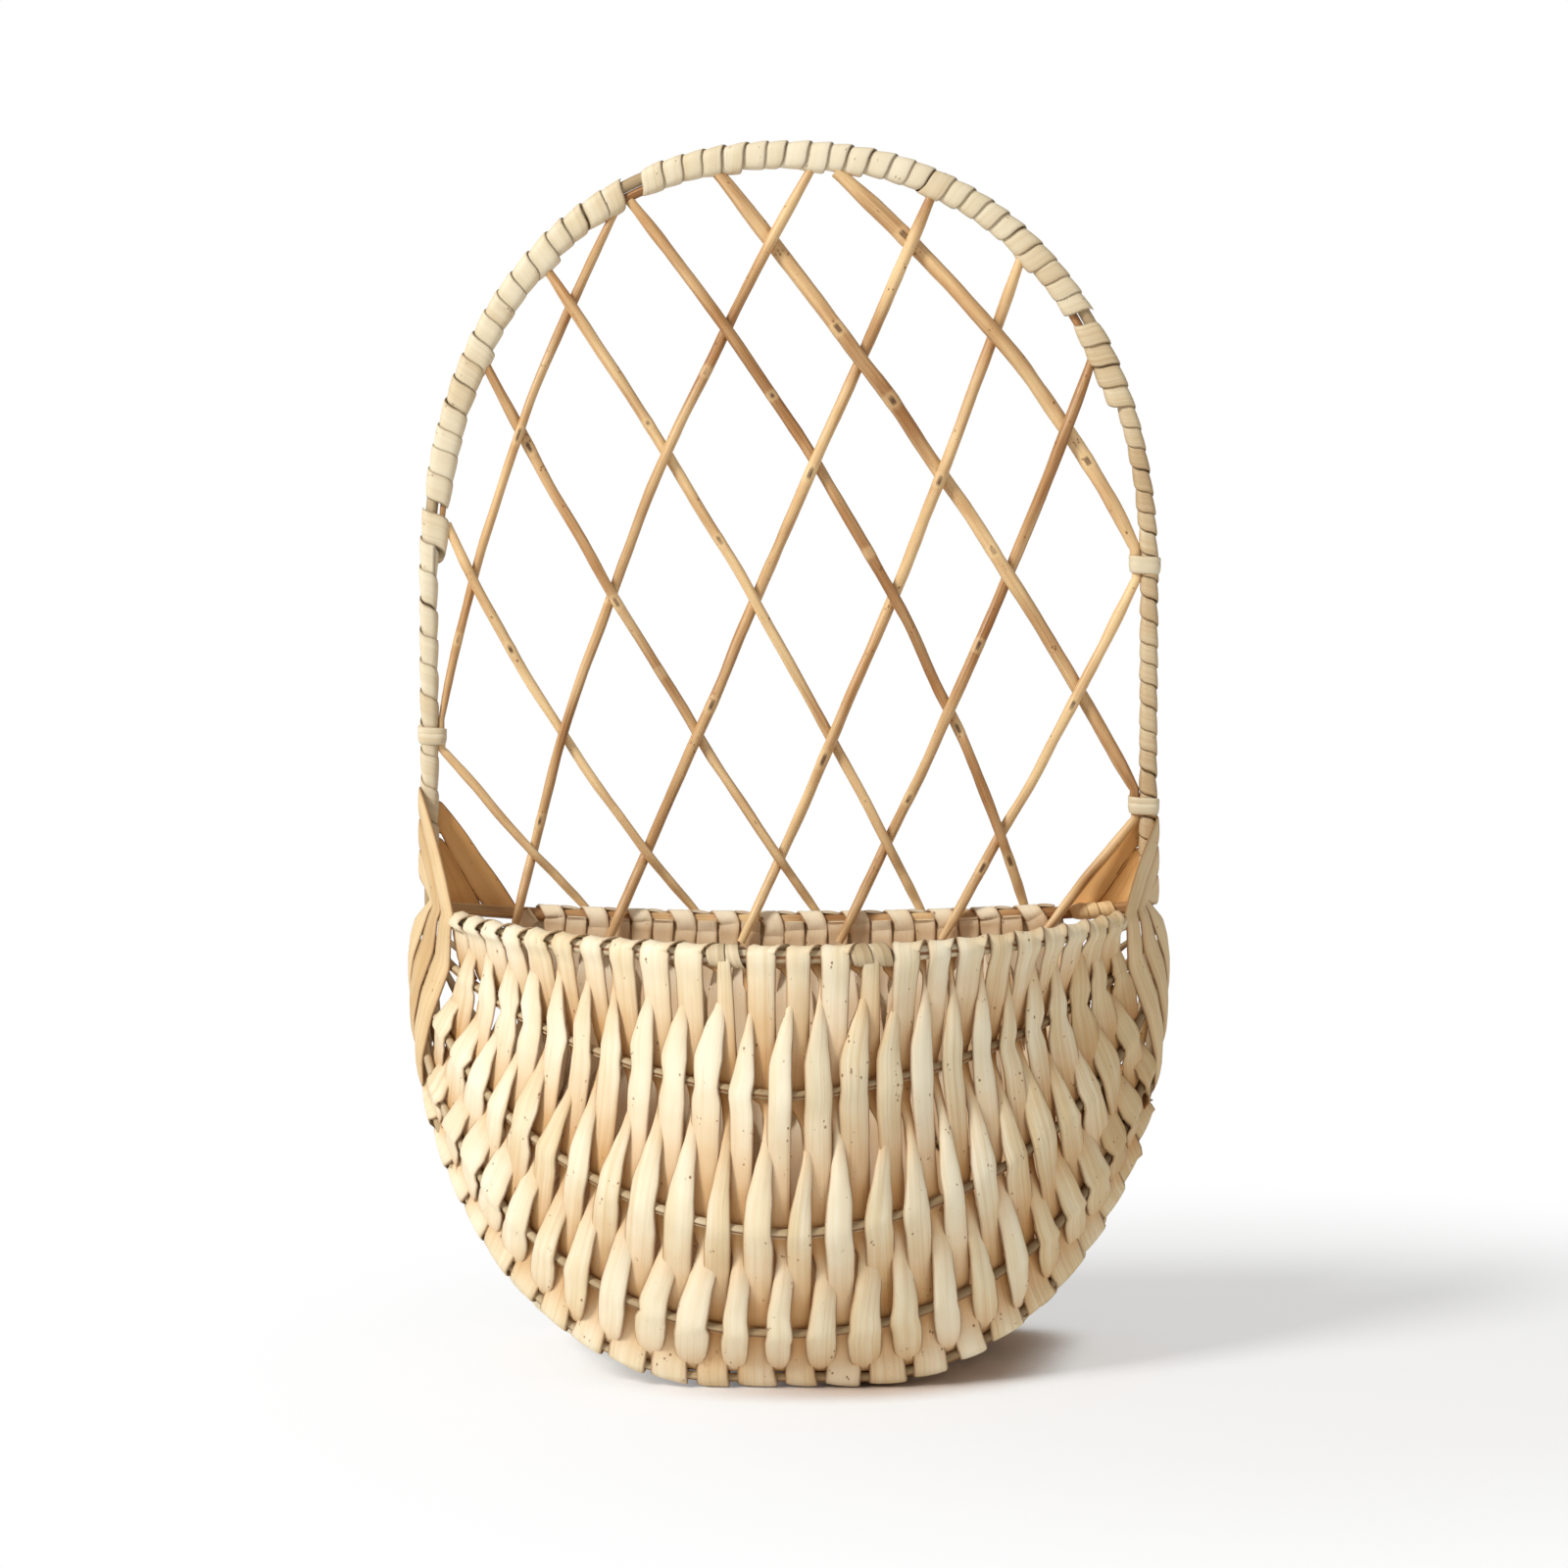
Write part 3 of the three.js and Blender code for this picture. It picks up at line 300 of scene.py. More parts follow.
# %% The inputs of the willow tree
willow_tree = bpy.data.node_groups.new("willow_lengths", "GeometryNodeTree")
for label, kind, default in [("Lengths", "Geometry", None), ("Sides", "Int", 12),
                             ("Corner", "Float", 1.0), ("Groove", "Float", 0.0),
                             ("Lump", "Float", 0.0), ("Lump Size", "Float", 120.0),
                             ("Seed", "Float", 0.0), ("Finish", "Material", None)]:
    socket = willow_tree.interface.new_socket(label, in_out="INPUT",
                                              socket_type="NodeSocket" + kind)
    if default is not None:
        socket.default_value = default
willow_tree.interface.new_socket("Willow", in_out="OUTPUT", socket_type="NodeSocketGeometry")

bench = Workbench(willow_tree)
inlet = willow_tree.nodes.new("NodeGroupInput")
given = {s.name: Wire(bench, s) for s in inlet.outputs if s.name}
print("inputs", list(given))


# %% The section that the tree lays on every point
def named(name, kind="FLOAT"):
    return bench.node("GeometryNodeInputNamedAttribute", {"data_type": kind}, {"Name": name})


def stored(geometry, name, value, kind="FLOAT"):
    return bench.node("GeometryNodeStoreNamedAttribute", {"data_type": kind, "domain": "POINT"},
                      {"Geometry": geometry, "Name": name, "Value": value})


ring = bench.node("GeometryNodeCurvePrimitiveCircle", {"mode": "RADIUS"},
                  {"Resolution": given["Sides"]})
ring = stored(ring, "turn", bench.node("GeometryNodeSplineParameter", output="Factor"))
path = bench.node("GeometryNodeMeshToCurve", None, {"Mesh": given["Lengths"]})
skin = bench.node("GeometryNodeCurveToMesh", None,
                  {"Curve": path, "Profile Curve": ring, "Fill Caps": True})

GROOVE_FROM = 0.88
half, thick, cup = named("half"), named("thick"), named("cup")
angle = named("turn") * (2 * math.pi)
side = bench.maths("COSINE", angle)
face = bench.maths("SINE", angle)
face = bench.maths("SIGN", face) * abs(face) ** given["Corner"]
bent = side * cup
split = bench.between(abs(side), GROOVE_FROM, 1.0) * given["Groove"]
sideways = half * bench.maths("SINE", bent) / cup * (1 - split)
drop = half * (1 - bench.maths("COSINE", bent)) / cup
grain = bench.node("ShaderNodeCombineXYZ", None,
                   {"X": half * side, "Y": thick * face, "Z": named("along")})
noise = bench.node("ShaderNodeTexNoise", {"noise_dimensions": "4D"},
                   {"Vector": grain, "W": given["Seed"], "Scale": given["Lump Size"],
                    "Detail": 2.0}, output="Fac")
swell = 1 + (noise - 0.5) * given["Lump"]
place = (named("spine", "FLOAT_VECTOR") + named("across", "FLOAT_VECTOR") * (sideways * swell)
         + named("facing", "FLOAT_VECTOR") * (face * thick * swell - drop))

# %% What the tree leaves on the surface
skin = bench.node("GeometryNodeSetPosition", None, {"Geometry": skin, "Position": place})
skin = stored(skin, "grain", grain, "FLOAT_VECTOR")
skin = stored(skin, "edge", abs(side))
skin = bench.node("GeometryNodeSetShadeSmooth", None, {"Geometry": skin})
skin = bench.node("GeometryNodeRealizeInstances", None, {"Geometry": skin})
skin = bench.node("GeometryNodeSetMaterial", None,
                  {"Geometry": skin, "Material": given["Finish"]})
outlet = willow_tree.nodes.new("NodeGroupOutput")
willow_tree.links.new(skin.socket, outlet.inputs["Willow"])
print("tree", willow_tree.name, "has", len(willow_tree.nodes), "nodes")

# %% [markdown]
# A length is the data of one strip or rod: its spine and what it needs at every point. The rods
# get a frame that doesn't twist, and the strips get one that the weave decides. A modifier could
# stay live on each piece, but a plain mesh is what gets written out and measured, so the result is
# kept and the modifier goes.

# %% A length of willow
class Length:
    """The tone runs from pale to dark, the knot marks a bud, and the depth sets the painted shade.
    """

    def __init__(self, spine, across, facing, half, thick, cup=0.05, tone=0.5, knot=0.0,
                 depth=0.0, closed=False):
        self.spine = np.asarray(spine, float)
        self.across, self.facing = unit(across), unit(facing)
        self.half, self.thick, self.cup, self.tone, self.knot, self.depth = [
            np.broadcast_to(v, len(spine)).astype(float)
            for v in (half, thick, cup, tone, knot, depth)]
        self.along = run_along(self.spine)
        self.closed = closed


def rod_length(spine, radius, reference=BACK, closed=False, **more):
    spine = np.asarray(spine, float)
    if closed:
        along = unit(np.roll(spine, -1, axis=0) - np.roll(spine, 1, axis=0))
    else:
        along = unit(np.gradient(spine, axis=0))
    first = cross(reference, along)
    return Length(spine, first, cross(along, first), radius, radius, closed=closed, **more)


# %% The chain of points that the tree reads
MM = 0.001
GRAIN_SHIFT_OF_PIECE, GRAIN_SHIFT_OF_LENGTH = 3.7, 0.61


def write_values(mesh, name, values, kind="FLOAT"):
    layer = mesh.attributes.new(name, kind, "POINT")
    flat = np.ascontiguousarray(values, np.float32).ravel()
    layer.data.foreach_set("vector" if kind == "FLOAT_VECTOR" else "value", flat)


def chain_of(name, lengths, number):
    """The lengths as a mesh of points and edges, each with its own stretch of the grain."""
    points, edges, start = [], [], 0
    for length in lengths:
        count = len(length.spine)
        points.append(length.spine)
        edges += [(start + i, start + i + 1) for i in range(count - 1)]
        edges += [(start + count - 1, start)] if length.closed else []
        start += count
    spine = np.concatenate(points) * MM + [0, HOOP_Y, 0]
    mesh = bpy.data.meshes.new(name)
    mesh.from_pydata(spine.tolist(), edges, [])
    write_values(mesh, "spine", spine, "FLOAT_VECTOR")
    for key in ("across", "facing"):
        write_values(mesh, key, np.concatenate([getattr(l, key) for l in lengths]), "FLOAT_VECTOR")
    for key, scale in [("half", MM), ("thick", MM), ("cup", 1), ("tone", 1), ("knot", 1),
                       ("depth", 1)]:
        write_values(mesh, key, np.concatenate([getattr(l, key) for l in lengths]) * scale)
    shifts = [number * GRAIN_SHIFT_OF_PIECE + GRAIN_SHIFT_OF_LENGTH * n
              for n in range(len(lengths))]
    write_values(mesh, "along", np.concatenate([l.along * MM + s
                                                for l, s in zip(lengths, shifts)]))
    return mesh


# %% A piece made of lengths
pieces = []


def signed_volume(mesh):
    """Below zero where the faces of a closed mesh point inwards."""
    mesh.calc_loop_triangles()
    places = np.empty(len(mesh.vertices) * 3, np.float32)
    mesh.vertices.foreach_get("co", places)
    corners = np.empty(len(mesh.loop_triangles) * 3, np.int32)
    mesh.loop_triangles.foreach_get("vertices", corners)
    a, b, c = places.reshape(-1, 3)[corners.reshape(-1, 3)].transpose(1, 0, 2)
    return float(np.einsum("ij,ij->i", a, np.cross(b, c)).sum())


def rest_on_floor(mesh):
    """The strips under the basket are worn flat where they touch the floor."""
    places = np.empty(len(mesh.vertices) * 3, np.float32)
    mesh.vertices.foreach_get("co", places)
    places[2::3] = np.maximum(places[2::3], 0)
    mesh.vertices.foreach_set("co", places)


def piece_of(name, lengths, finish, sides=12, corner=1.0, groove=0.0, lump=0.0,
             lump_size=120.0):
    """Lay the lengths with the tree, keep the plain mesh and let the piece stand for its solid."""
    number = len(pieces) + 1
    chain = chain_of(name, lengths, number)
    rough = bpy.data.objects.new(name + "_willow", chain)
    bpy.context.scene.collection.objects.link(rough)
    modifier = rough.modifiers.new("willow", "NODES")
    modifier.node_group = willow_tree
    wanted = {"Sides": sides, "Corner": corner, "Groove": groove, "Lump": lump,
              "Lump Size": lump_size, "Seed": float(number), "Finish": finish}
    for item in willow_tree.interface.items_tree:
        if item.in_out == "INPUT" and item.name in wanted:
            modifier[item.identifier] = wanted[item.name]
    depsgraph = bpy.context.evaluated_depsgraph_get()
    laid = bpy.data.meshes.new_from_object(rough.evaluated_get(depsgraph),
                                           preserve_all_data_layers=True, depsgraph=depsgraph)
    rough.modifiers.remove(modifier)
    rough.data = laid
    laid.name = name
    bpy.data.meshes.remove(chain)
    for key in ("spine", "across", "facing", "half", "thick", "cup", "turn"):
        if key in laid.attributes:
            laid.attributes.remove(laid.attributes[key])
    if signed_volume(laid) < 0:
        laid.flip_normals()
    rest_on_floor(laid)
    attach(rough, "root")
    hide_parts(name)
    pieces.append(rough)
    return rough


# %% [markdown]
# ## The finish of peeled willow
# Willow that is boiled, peeled and split is cream to honey coloured, with fine fibres that run
# along it. It is dotted with small brown specks and is darker at its cut edges, and painted shade
# darkens its edges further. Where it lies deep between its neighbours it gets a warmer painted
# shade. A picture of willow could be wrapped round the pieces, but it would repeat on some and
# stretch on others. One recipe of noise makes every finish here instead, with other colours and
# other amounts. It reads the way of the fibres that the tree left on the surface, so the pattern
# never slides.

# %% The patterns in the wood
# Each pattern has its repeats in a metre across the fibres and along them, and its detail.
FIBRE, STRAND = (2600.0, 26.0, 5.0), (520.0, 8.0, 3.0)
PATCH, CLOUD = (70.0, 20.0, 3.0), (150.0, 130.0, 3.0)
SPECKS_IN_A_METRE = (560.0, 560.0, 400.0)
PAINTED_SHADE_TINT, MARK_BROWN, SLIT_BROWN = srgb(222, 163, 74), srgb(132, 84, 42), srgb(74, 40, 18)
BUMP_HEIGHT = 0.0005


# %% The willow recipe
def willow(name, pale, middle, deep, gloss=0.5, specks=1.0, edge_shade=0.5,
           weathered=(174, 140, 98), grooved=0.0):
    pale, middle, deep, weathered = [srgb(*colour) for colour in (pale, middle, deep, weathered)]
    material = bpy.data.materials.new(name)
    material.use_nodes = True
    material.node_tree.nodes.clear()
    bench = Workbench(material.node_tree)

    def read(layer, output="Fac"):
        return bench.node("ShaderNodeAttribute", {"attribute_name": layer}, output=output)

    def pattern(across, along, detail):
        return bench.node("ShaderNodeTexNoise", None,
                          {"Vector": read("grain", "Vector") * (across, across, along),
                           "Scale": 1.0, "Detail": detail, "Roughness": 0.6}, output="Fac")

    def stronger(first, second):
        return bench.maths("MAXIMUM", first, second)

    tone, knot, edge, depth = read("tone"), read("knot"), read("edge"), read("depth")
    fibre, strand = pattern(*FIBRE), pattern(*STRAND)
    patch, cloud = pattern(*PATCH), pattern(*CLOUD)

    # The wood goes from pale over middle to deep and is greyer where it has weathered. It is darker
    # towards its edges, partly its cut edges and partly painted shade, and it gets a golden painted
    # shade where it lies deep in the weave.
    less_pale = bench.between(patch * 0.6 + strand * 0.25 + tone * 0.5, 0.42, 0.88)
    deeper = bench.between(strand * 0.45 + fibre * 0.35 + tone * 0.55, 0.55, 1.05)
    grey = bench.between(tone + (patch - 0.5) * 0.5, 0.75, 1.2)
    colour = bench.blend(less_pale, pale, middle)
    colour = bench.blend(deeper * 0.7, colour, deep)
    colour = bench.blend(bench.between(fibre, 0.5, 0.3) * 0.22, colour, pale)
    colour = bench.blend(grey * 0.6, colour, weathered)
    colour = bench.blend(bench.between(edge, 0.45, 1.0) * edge_shade * 0.4, colour, deep)
    # Painted shade: the depth attribute multiplies in a golden tint where the strip lies behind its
    # neighbours.
    colour = bench.blend(depth * 0.85, colour, PAINTED_SHADE_TINT, "MULTIPLY")

    # The marks are specks, dark cut edges that also carry painted contact shade, seams between
    # fibres and the groove of a split rod.
    speck = bench.node("ShaderNodeTexVoronoi", None,
                       {"Vector": read("grain", "Vector") * SPECKS_IN_A_METRE, "Scale": 1.0},
                       output="Distance")
    dotted = bench.between(speck, 0.34, 0.2) * bench.between(cloud, 0.6, 0.66) * specks
    # Partly painted shade: a thin dark line along every edge, for the cut edge and the contact
    # shade beside it.
    cut_edge_and_shade = bench.between(edge, 0.84, 0.97) * edge_shade
    seam = bench.between(fibre, 0.64, 0.76) * 0.3
    groove = bench.between(edge + (strand - 0.5) * 0.06, 0.93, 0.975) * grooved
    mark = stronger(stronger(dotted * 0.85, cut_edge_and_shade), stronger(seam, groove))

    # A bud leaves a dark slit along the fibres, with a pale halo round it.
    slit = bench.between(knot, 0.35, 0.8) * bench.between(edge + (fibre - 0.5) * 0.5, 0.42, 0.2)
    colour = bench.blend(bench.between(knot, 0.08, 0.5) * 0.4, colour, pale)
    colour = bench.blend(mark, colour, MARK_BROWN)
    colour = bench.blend(slit * 0.9, colour, SLIT_BROWN)

    height = (fibre * 0.35 + strand * 0.3 + cloud * 0.15 - slit * 0.8 - groove * 1.2
              - dotted * 0.3)
    bump = bench.node("ShaderNodeBump", None,
                      {"Height": height, "Distance": BUMP_HEIGHT, "Strength": 0.55})
    roughness = (1 - gloss) + (fibre - 0.5) * 0.3 + dotted * 0.15 + depth * 0.1
    surface = bench.node("ShaderNodeBsdfPrincipled", None,
                         {"Base Color": colour, "Roughness": roughness, "Normal": bump,
                          "Specular IOR Level": 0.35})
    bench.node("ShaderNodeOutputMaterial", None, {"Surface": surface})
    return material


# %% Mix the finishes
PEELED = willow("peeled_strip", (248, 238, 211), (230, 207, 160), (194, 152, 92),
                gloss=0.54, specks=0.95, edge_shade=0.55)
BINDING = willow("binding_strip", (232, 219, 190), (217, 197, 158), (178, 142, 96),
                 gloss=0.5, specks=0.6, edge_shade=0.22)
LASHING = willow("lashing_strip", (234, 208, 162), (208, 170, 116), (170, 122, 70),
                 gloss=0.45, specks=0.8, edge_shade=0.7)
# The inner lashings are the same willow as the other lashings. This paler, more orange copy is
# painted light: the warm light that bounces into their shaded corner.
INNER_PAINTED_LIGHT = willow("inner_strip", (250, 208, 142), (238, 184, 112), (198, 134, 66),
               gloss=0.45, specks=0.8, edge_shade=0.7)
STICK = willow("round_stick", (242, 208, 154), (176, 118, 62), (84, 44, 16),
               gloss=0.6, specks=1.0, edge_shade=0.0)
ROD = willow("pale_rod", (228, 211, 178), (196, 172, 130), (138, 108, 70),
             gloss=0.42, specks=0.8, edge_shade=0.0, weathered=(138, 114, 80), grooved=0.95)
print("finishes", [m.name for m in (PEELED, BINDING, LASHING, INNER_PAINTED_LIGHT, STICK, ROD)])

# %% [markdown]
# ## The rods
# The hoop, the rims and the ribs are pale rods, bent while wet. They show where the weave leaves
# them bare. A plain tube would look turned on a lathe, and a rod is never quite round or quite
# even, so its radius and its tone wander a little. The wandering comes from a seed, so that every
# run gives the same basket.

# %% Wandering values
POINT_STEP = 3.0


def wander(count, step, reach, seed):
    """A smooth random line of count values, with a new target every so many steps."""
    rng = np.random.default_rng(seed)
    targets = rng.uniform(-1, 1, max(4, int(count / step) + 4))
    x = np.linspace(0, len(targets) - 1.001, count)
    cell = np.minimum(x.astype(int), len(targets) - 2)
    share = x - cell
    share = share * share * (3 - 2 * share)
    return reach * (targets[cell] * (1 - share) + targets[cell + 1] * share)


def along_line(line, start=0.0, stop=1.0):
    return np.linspace(start, stop, max(8, int(line.length * (stop - start) / POINT_STEP)))


# %% Bend the hoop
ROD_TONE = 0.8
hoop_path = np.concatenate([lower_hoop.at(along_line(lower_hoop))[:-1],
                            arch.at(along_line(arch))[::-1][:-1]])
count = len(hoop_path)
hoop_radius = HOOP_R * (1 + wander(count, 8, 0.04, 1))
hoop_tone = ROD_TONE + wander(count, 20, 0.2, 2)
piece_of("hoop_rod", [rod_length(hoop_path, hoop_radius, closed=True, tone=hoop_tone)],
         ROD, sides=14, lump=0.12)
print("hoop", count, "points")

# %% Bend the ribs
RIB_TUCK, RIB_TAPER, RIB_TIP = 0.01, 0.03, 0.55
RIB_GREY_AND_SHADE_AT_RIGHT = 0.7

for n, (name, line) in enumerate({**rib_lines, **back_rib_lines}.items()):
    u = along_line(line, RIB_TUCK, 1 - RIB_TUCK)
    places = line.at(u)
    # The ribs are darker and greyer towards the right, partly their own weathering and partly
    # painted shade.
    tone = (ROD_TONE + wander(len(u), 16, 0.2, 30 + n)
            + RIB_GREY_AND_SHADE_AT_RIGHT * np.clip(places[:, 0] / HALF_WIDTH, -0.2, 1))
    ends = np.clip(np.minimum(u - RIB_TUCK, 1 - RIB_TUCK - u) / RIB_TAPER, 0, 1)
    radius = RIB_R * (1 + wander(len(u), 6, 0.07, 40 + n)) * (RIB_TIP + (1 - RIB_TIP) * ends)
    plane = cross([1, 0, 0], line.at(0.5) - line.at(0.0) * [0, 1, 1])
    piece_of(name, [rod_length(places, radius, plane, tone=tone)], ROD, sides=16,
             groove=0.2, lump=0.12)
print("ribs", len(rib_lines) + len(back_rib_lines))

# %% [markdown]
# ## The weave
# Split strips run up the front, over the rim, down inside the next gap, under the basket and up
# the back. Between two rods every second strip goes in and its neighbours come out. The one that
# goes in stays flat and wide. The one that comes out is squeezed to a folded blade where it slips
# between its neighbours, and it opens to its full width on the way to the lower rod. One sheet
# with a woven pattern would look painted on. Here each strip is a real one, led from rod to rod
# by knots, so its gaps, its shadows and its back are real too.

# %% Where a course of the weave crosses the rods
WEAVERS, COURSES_PER_WEAVER, REACH = 12, 4, 0.74
COURSES = WEAVERS * COURSES_PER_WEAVER
COURSE_STEP = 2 * REACH / COURSES
OUTERMOST = (0, 1, COURSES - 2, COURSES - 1)
STRIP_THICKNESS = 1.2
CLEAR = 0.25
FRONT, HOOP_INDEX, REAR = 0, len(rib_lines) + 1, len(carriers) - 1


def course_share(course):
    """How far to the side a course runs: -1 is the left pole and 1 the right one."""
    return -REACH + (course + 0.5) * COURSE_STEP


def crossings(share):
    """What a strip meets at every rod, from the front rim under the basket to the back rim."""
    u = (1 + share) / 2
    points = [line.at(u) for line, _ in carriers]
    met = []
    for k, (line, radius) in enumerate(carriers):
        along = unit(points[min(k + 1, len(points) - 1)] - points[max(k - 1, 0)])
        across = line.heading(u)
        met.append({"point": points[k], "along": along, "across": across,
                    "out": cross(along, across), "radius": radius,
                    "pitch": line.length * COURSE_STEP / 2})
    return met


print("courses", COURSES, "round the front,", round(front_rim.length * COURSE_STEP / 2, 1),
      "mm apart")

# %% The knots that lead a strip
LEAST_CUP = 0.04


def turned_to(normal, facing):
    """The same normals, each on the side that its facing asks for."""
    return normal * np.sign(np.einsum("ij,ij->i", normal, facing))[:, None]


class Path:
    """The knots of a strip, each with its place, its lie and its width."""

    def __init__(self):
        self.knots = []

    def add(self, place, across, facing, half, tilt=0.0, cup=0.1, tone=0.5, depth=0.0):
        self.knots.append((place, across, facing, half, tilt, cup, tone, depth))

    def columns(self):
        return [np.array([knot[i] for knot in self.knots], float) for i in range(8)]

    def taut(self, step, thickness, rounding=1.5):
        """A strip pulled tight: straight from knot to knot, with its folds a little rounded."""
        run = run_along(self.columns()[0])
        where = np.linspace(0, run[-1], int(run[-1] / step) + 2)
        spots = np.clip(where[:, None] + np.linspace(-rounding, rounding, 7), 0, run[-1])

        def mixed(values):
            if values.ndim == 2:
                return np.stack([mixed(column) for column in values.T], axis=1)
            return np.interp(spots, run, values).mean(axis=1)

        place, across, facing, half, _, cup, tone, depth = map(mixed, self.columns())
        heading, across = unit(np.gradient(place, axis=0)), unit(across)
        normal = turned_to(np.cross(heading, across), facing)
        return Length(place, across, normal, half, thickness / 2, cup=np.maximum(LEAST_CUP, cup),
                      tone=tone, depth=depth)

    def smooth(self, step=3.0, thickness=STRIP_THICKNESS):
        """A strip with a spring to it: one smooth line through all its knots."""
        places, across, facing, half, tilt, cup, tone, depth = self.columns()
        run = run_along(places)
        chord = np.diff(run)
        slope = np.gradient(places, run, axis=0)
        samples = []
        for i, gap in enumerate(chord):
            count = max(2, int(math.ceil(gap / step)))
            samples.append(i + np.arange(count) / count)
        where = np.concatenate(samples + [[len(chord)]])
        cell = np.minimum(where.astype(int), len(chord) - 1)
        t, gap = (where - cell)[:, None], chord[cell][:, None]
        spine = ((2 * t**3 - 3 * t**2 + 1) * places[cell]
                 + (t**3 - 2 * t**2 + t) * gap * slope[cell]
                 + (-2 * t**3 + 3 * t**2) * places[cell + 1]
                 + (t**3 - t**2) * gap * slope[cell + 1])
        ease = t * t * (3 - 2 * t)

        def eased(values):
            share = ease if values.ndim == 2 else ease[:, 0]
            return values[cell] * (1 - share) + values[cell + 1] * share

        heading = unit(np.gradient(spine, axis=0))
        sideways = eased(across)
        sideways = unit(sideways - heading * np.einsum("ij,ij->i", sideways, heading)[:, None])
        normal = turned_to(np.cross(heading, sideways), eased(facing))
        turn = eased(tilt)[:, None]
        lie = sideways * np.cos(turn) + normal * np.sin(turn)
        normal = normal * np.cos(turn) - sideways * np.sin(turn)
        width = np.interp(where, np.arange(len(half)), half) * 0.5 + eased(half) * 0.5
        return Length(spine, lie, normal, width, thickness / 2,
                      cup=np.maximum(LEAST_CUP, eased(cup)), tone=eased(tone), depth=eased(depth))


# %% [markdown]
# These tables hold the way from the upper rod to the lower one. Each row has the share of the
# way, how far out the strip lies (1 is on the rod, -1 behind it), its width as a share of the full
# one, its cup across the fibres, and how far it leans to the right, as a share of that strip's own
# lean. Between the lowest rib in front and the edge of the base the strips come out wide, and the
# ones that go in narrow late, so that span has tables of its own. At the back the change comes
# lower, so that the loops over the back rim stay wide inside the pocket.

# %% How a strip goes in and how it comes out
FRONT_IN = [(0.17, 0.76, 1.02, 0.14, 0.0), (0.36, 0.38, 1.0, 0.14, 0.0),
            (0.62, -0.2, 0.98, 0.18, 0.0), (0.84, -0.7, 0.98, 0.2, 0.0)]
FRONT_OUT = [(0.13, -0.80, 0.55, 0.5, 0.6), (0.25, -0.28, 0.1, 1.1, 1.0),
             (0.42, 0.30, 0.36, 0.8, 0.9), (0.62, 0.76, 0.7, 0.45, 0.5),
             (0.84, 1.0, 0.98, 0.22, 0.1)]
BASE_IN = [(0.17, 0.85, 1.02, 0.14, 0.0), (0.4, 0.7, 1.0, 0.14, 0.0), (0.6, 0.45, 0.9, 0.2, 0.0),
           (0.76, 0.1, 0.62, 0.3, 0.0), (0.88, -0.5, 0.36, 0.4, 0.0)]
BASE_OUT = [(0.15, -0.8, 1.0, 0.14, 0.0), (0.4, -0.45, 1.08, 0.12, 0.0),
            (0.62, -0.1, 1.12, 0.1, 0.0), (0.8, 0.5, 1.14, 0.1, 0.0)]
BACK_IN = [(0.2, 0.9, 0.9, 0.3, 0.0), (0.46, 0.3, 0.62, 0.5, 0.0), (0.75, -0.7, 0.9, 0.3, 0.0)]
BACK_OUT = [(0.16, -0.95, 1.05, 0.3, 0.0), (0.32, -0.7, 0.9, 0.4, 0.0),
            (0.5, -0.1, 0.5, 0.7, 0.0), (0.76, 0.7, 0.9, 0.4, 0.0)]
BASE_EDGE_INDEX = 4
BASE_SPAN = BASE_EDGE_INDEX - 1


def ways_below(k):
    """How a strip goes in and how it comes out between rod k and the next one."""
    if k == BASE_SPAN:
        return BASE_IN, BASE_OUT
    return (FRONT_IN, FRONT_OUT) if k < HOOP_INDEX else (BACK_IN, BACK_OUT)


# %% [markdown]
# No two strips are alike, so the width, tone, place, lean and twist of each are drawn from one
# seeded source, always in the same order. The rules on top of it come from the photograph: the
# strips widen below the second rib and where they wrap the base, they crowd together at the sides,
# and two of them are narrow where a roll lies on the rim.

# %% The width and the tone of a strip
STRIP_WIDTH = 10.3
chance = np.random.default_rng(7)
course_width = chance.uniform(0.84, 1.16, COURSES)
course_tone = chance.uniform(-0.16, 0.16, COURSES)
# The tone is painted darker and greyer towards the right, partly the strips' own weathering and
# partly painted shade, and paler at the back wall as painted light in its shade.
PALEST_TONE, RIGHT_GREY_AND_SHADE, BACK_PAINTED_LIGHT = 0.36, 0.42, -0.3
# The wraps round the base's edge and the hoop, and each span's least and usual widths.
WRAP_WIDTHS = {BASE_EDGE_INDEX: 1.22, HOOP_INDEX: 1.5}
LEAST_WIDTHS = {1: 0.5, 2: 0.88, BASE_EDGE_INDEX: 1.15, HOOP_INDEX - 1: 1.35, HOOP_INDEX: 1.2}
SPAN_WIDTHS = [1.0, 1.0, 1.06, 1.12, 1.12, 1.1, 1.06, 1.0, 1.0, 1.0]
ROLLED_COURSES, ROLLED_WIDTHS = (20, 28), [0.66, 0.72, 0.8, 0.9]


def ramp(value, low, high):
    """0 at low, 1 at high, and straight on the way."""
    return np.clip((value - low) / (high - low), 0, 1)


def strip_tone(course, place):
    return (PALEST_TONE + course_tone[course] + RIGHT_GREY_AND_SHADE * ramp(place[0], 70, 130)
            + BACK_PAINTED_LIGHT * ramp(place[1], -15, 0))


def crowded(place):
    """0 in the middle of the basket and 1 at its sides, where the rods run together."""
    return float(ramp(abs(place[0]), 80, 120))


def strip_width(course, place):
    """The strips grow wider towards the sides, where they twist most."""
    growth = 0.5 if course in OUTERMOST else 0.3
    return STRIP_WIDTH * course_width[course] * (1 + growth * crowded(place))


print("strips", [round(STRIP_WIDTH * w, 1) for w in (course_width.min(), course_width.max())],
      "mm wide at least and at most")

# %% The knots of a strip on a rod
SIDESTEP = 0.8
WRAP_ROOM, LEAST_ROOM, MOST_ROOM, INSIDE_ROOM = 1.98, 1.35, 1.75, 0.3
FRONT_PAINTED_SHADE, BACK_PAINTED_SHADE = 0.9, 0.4


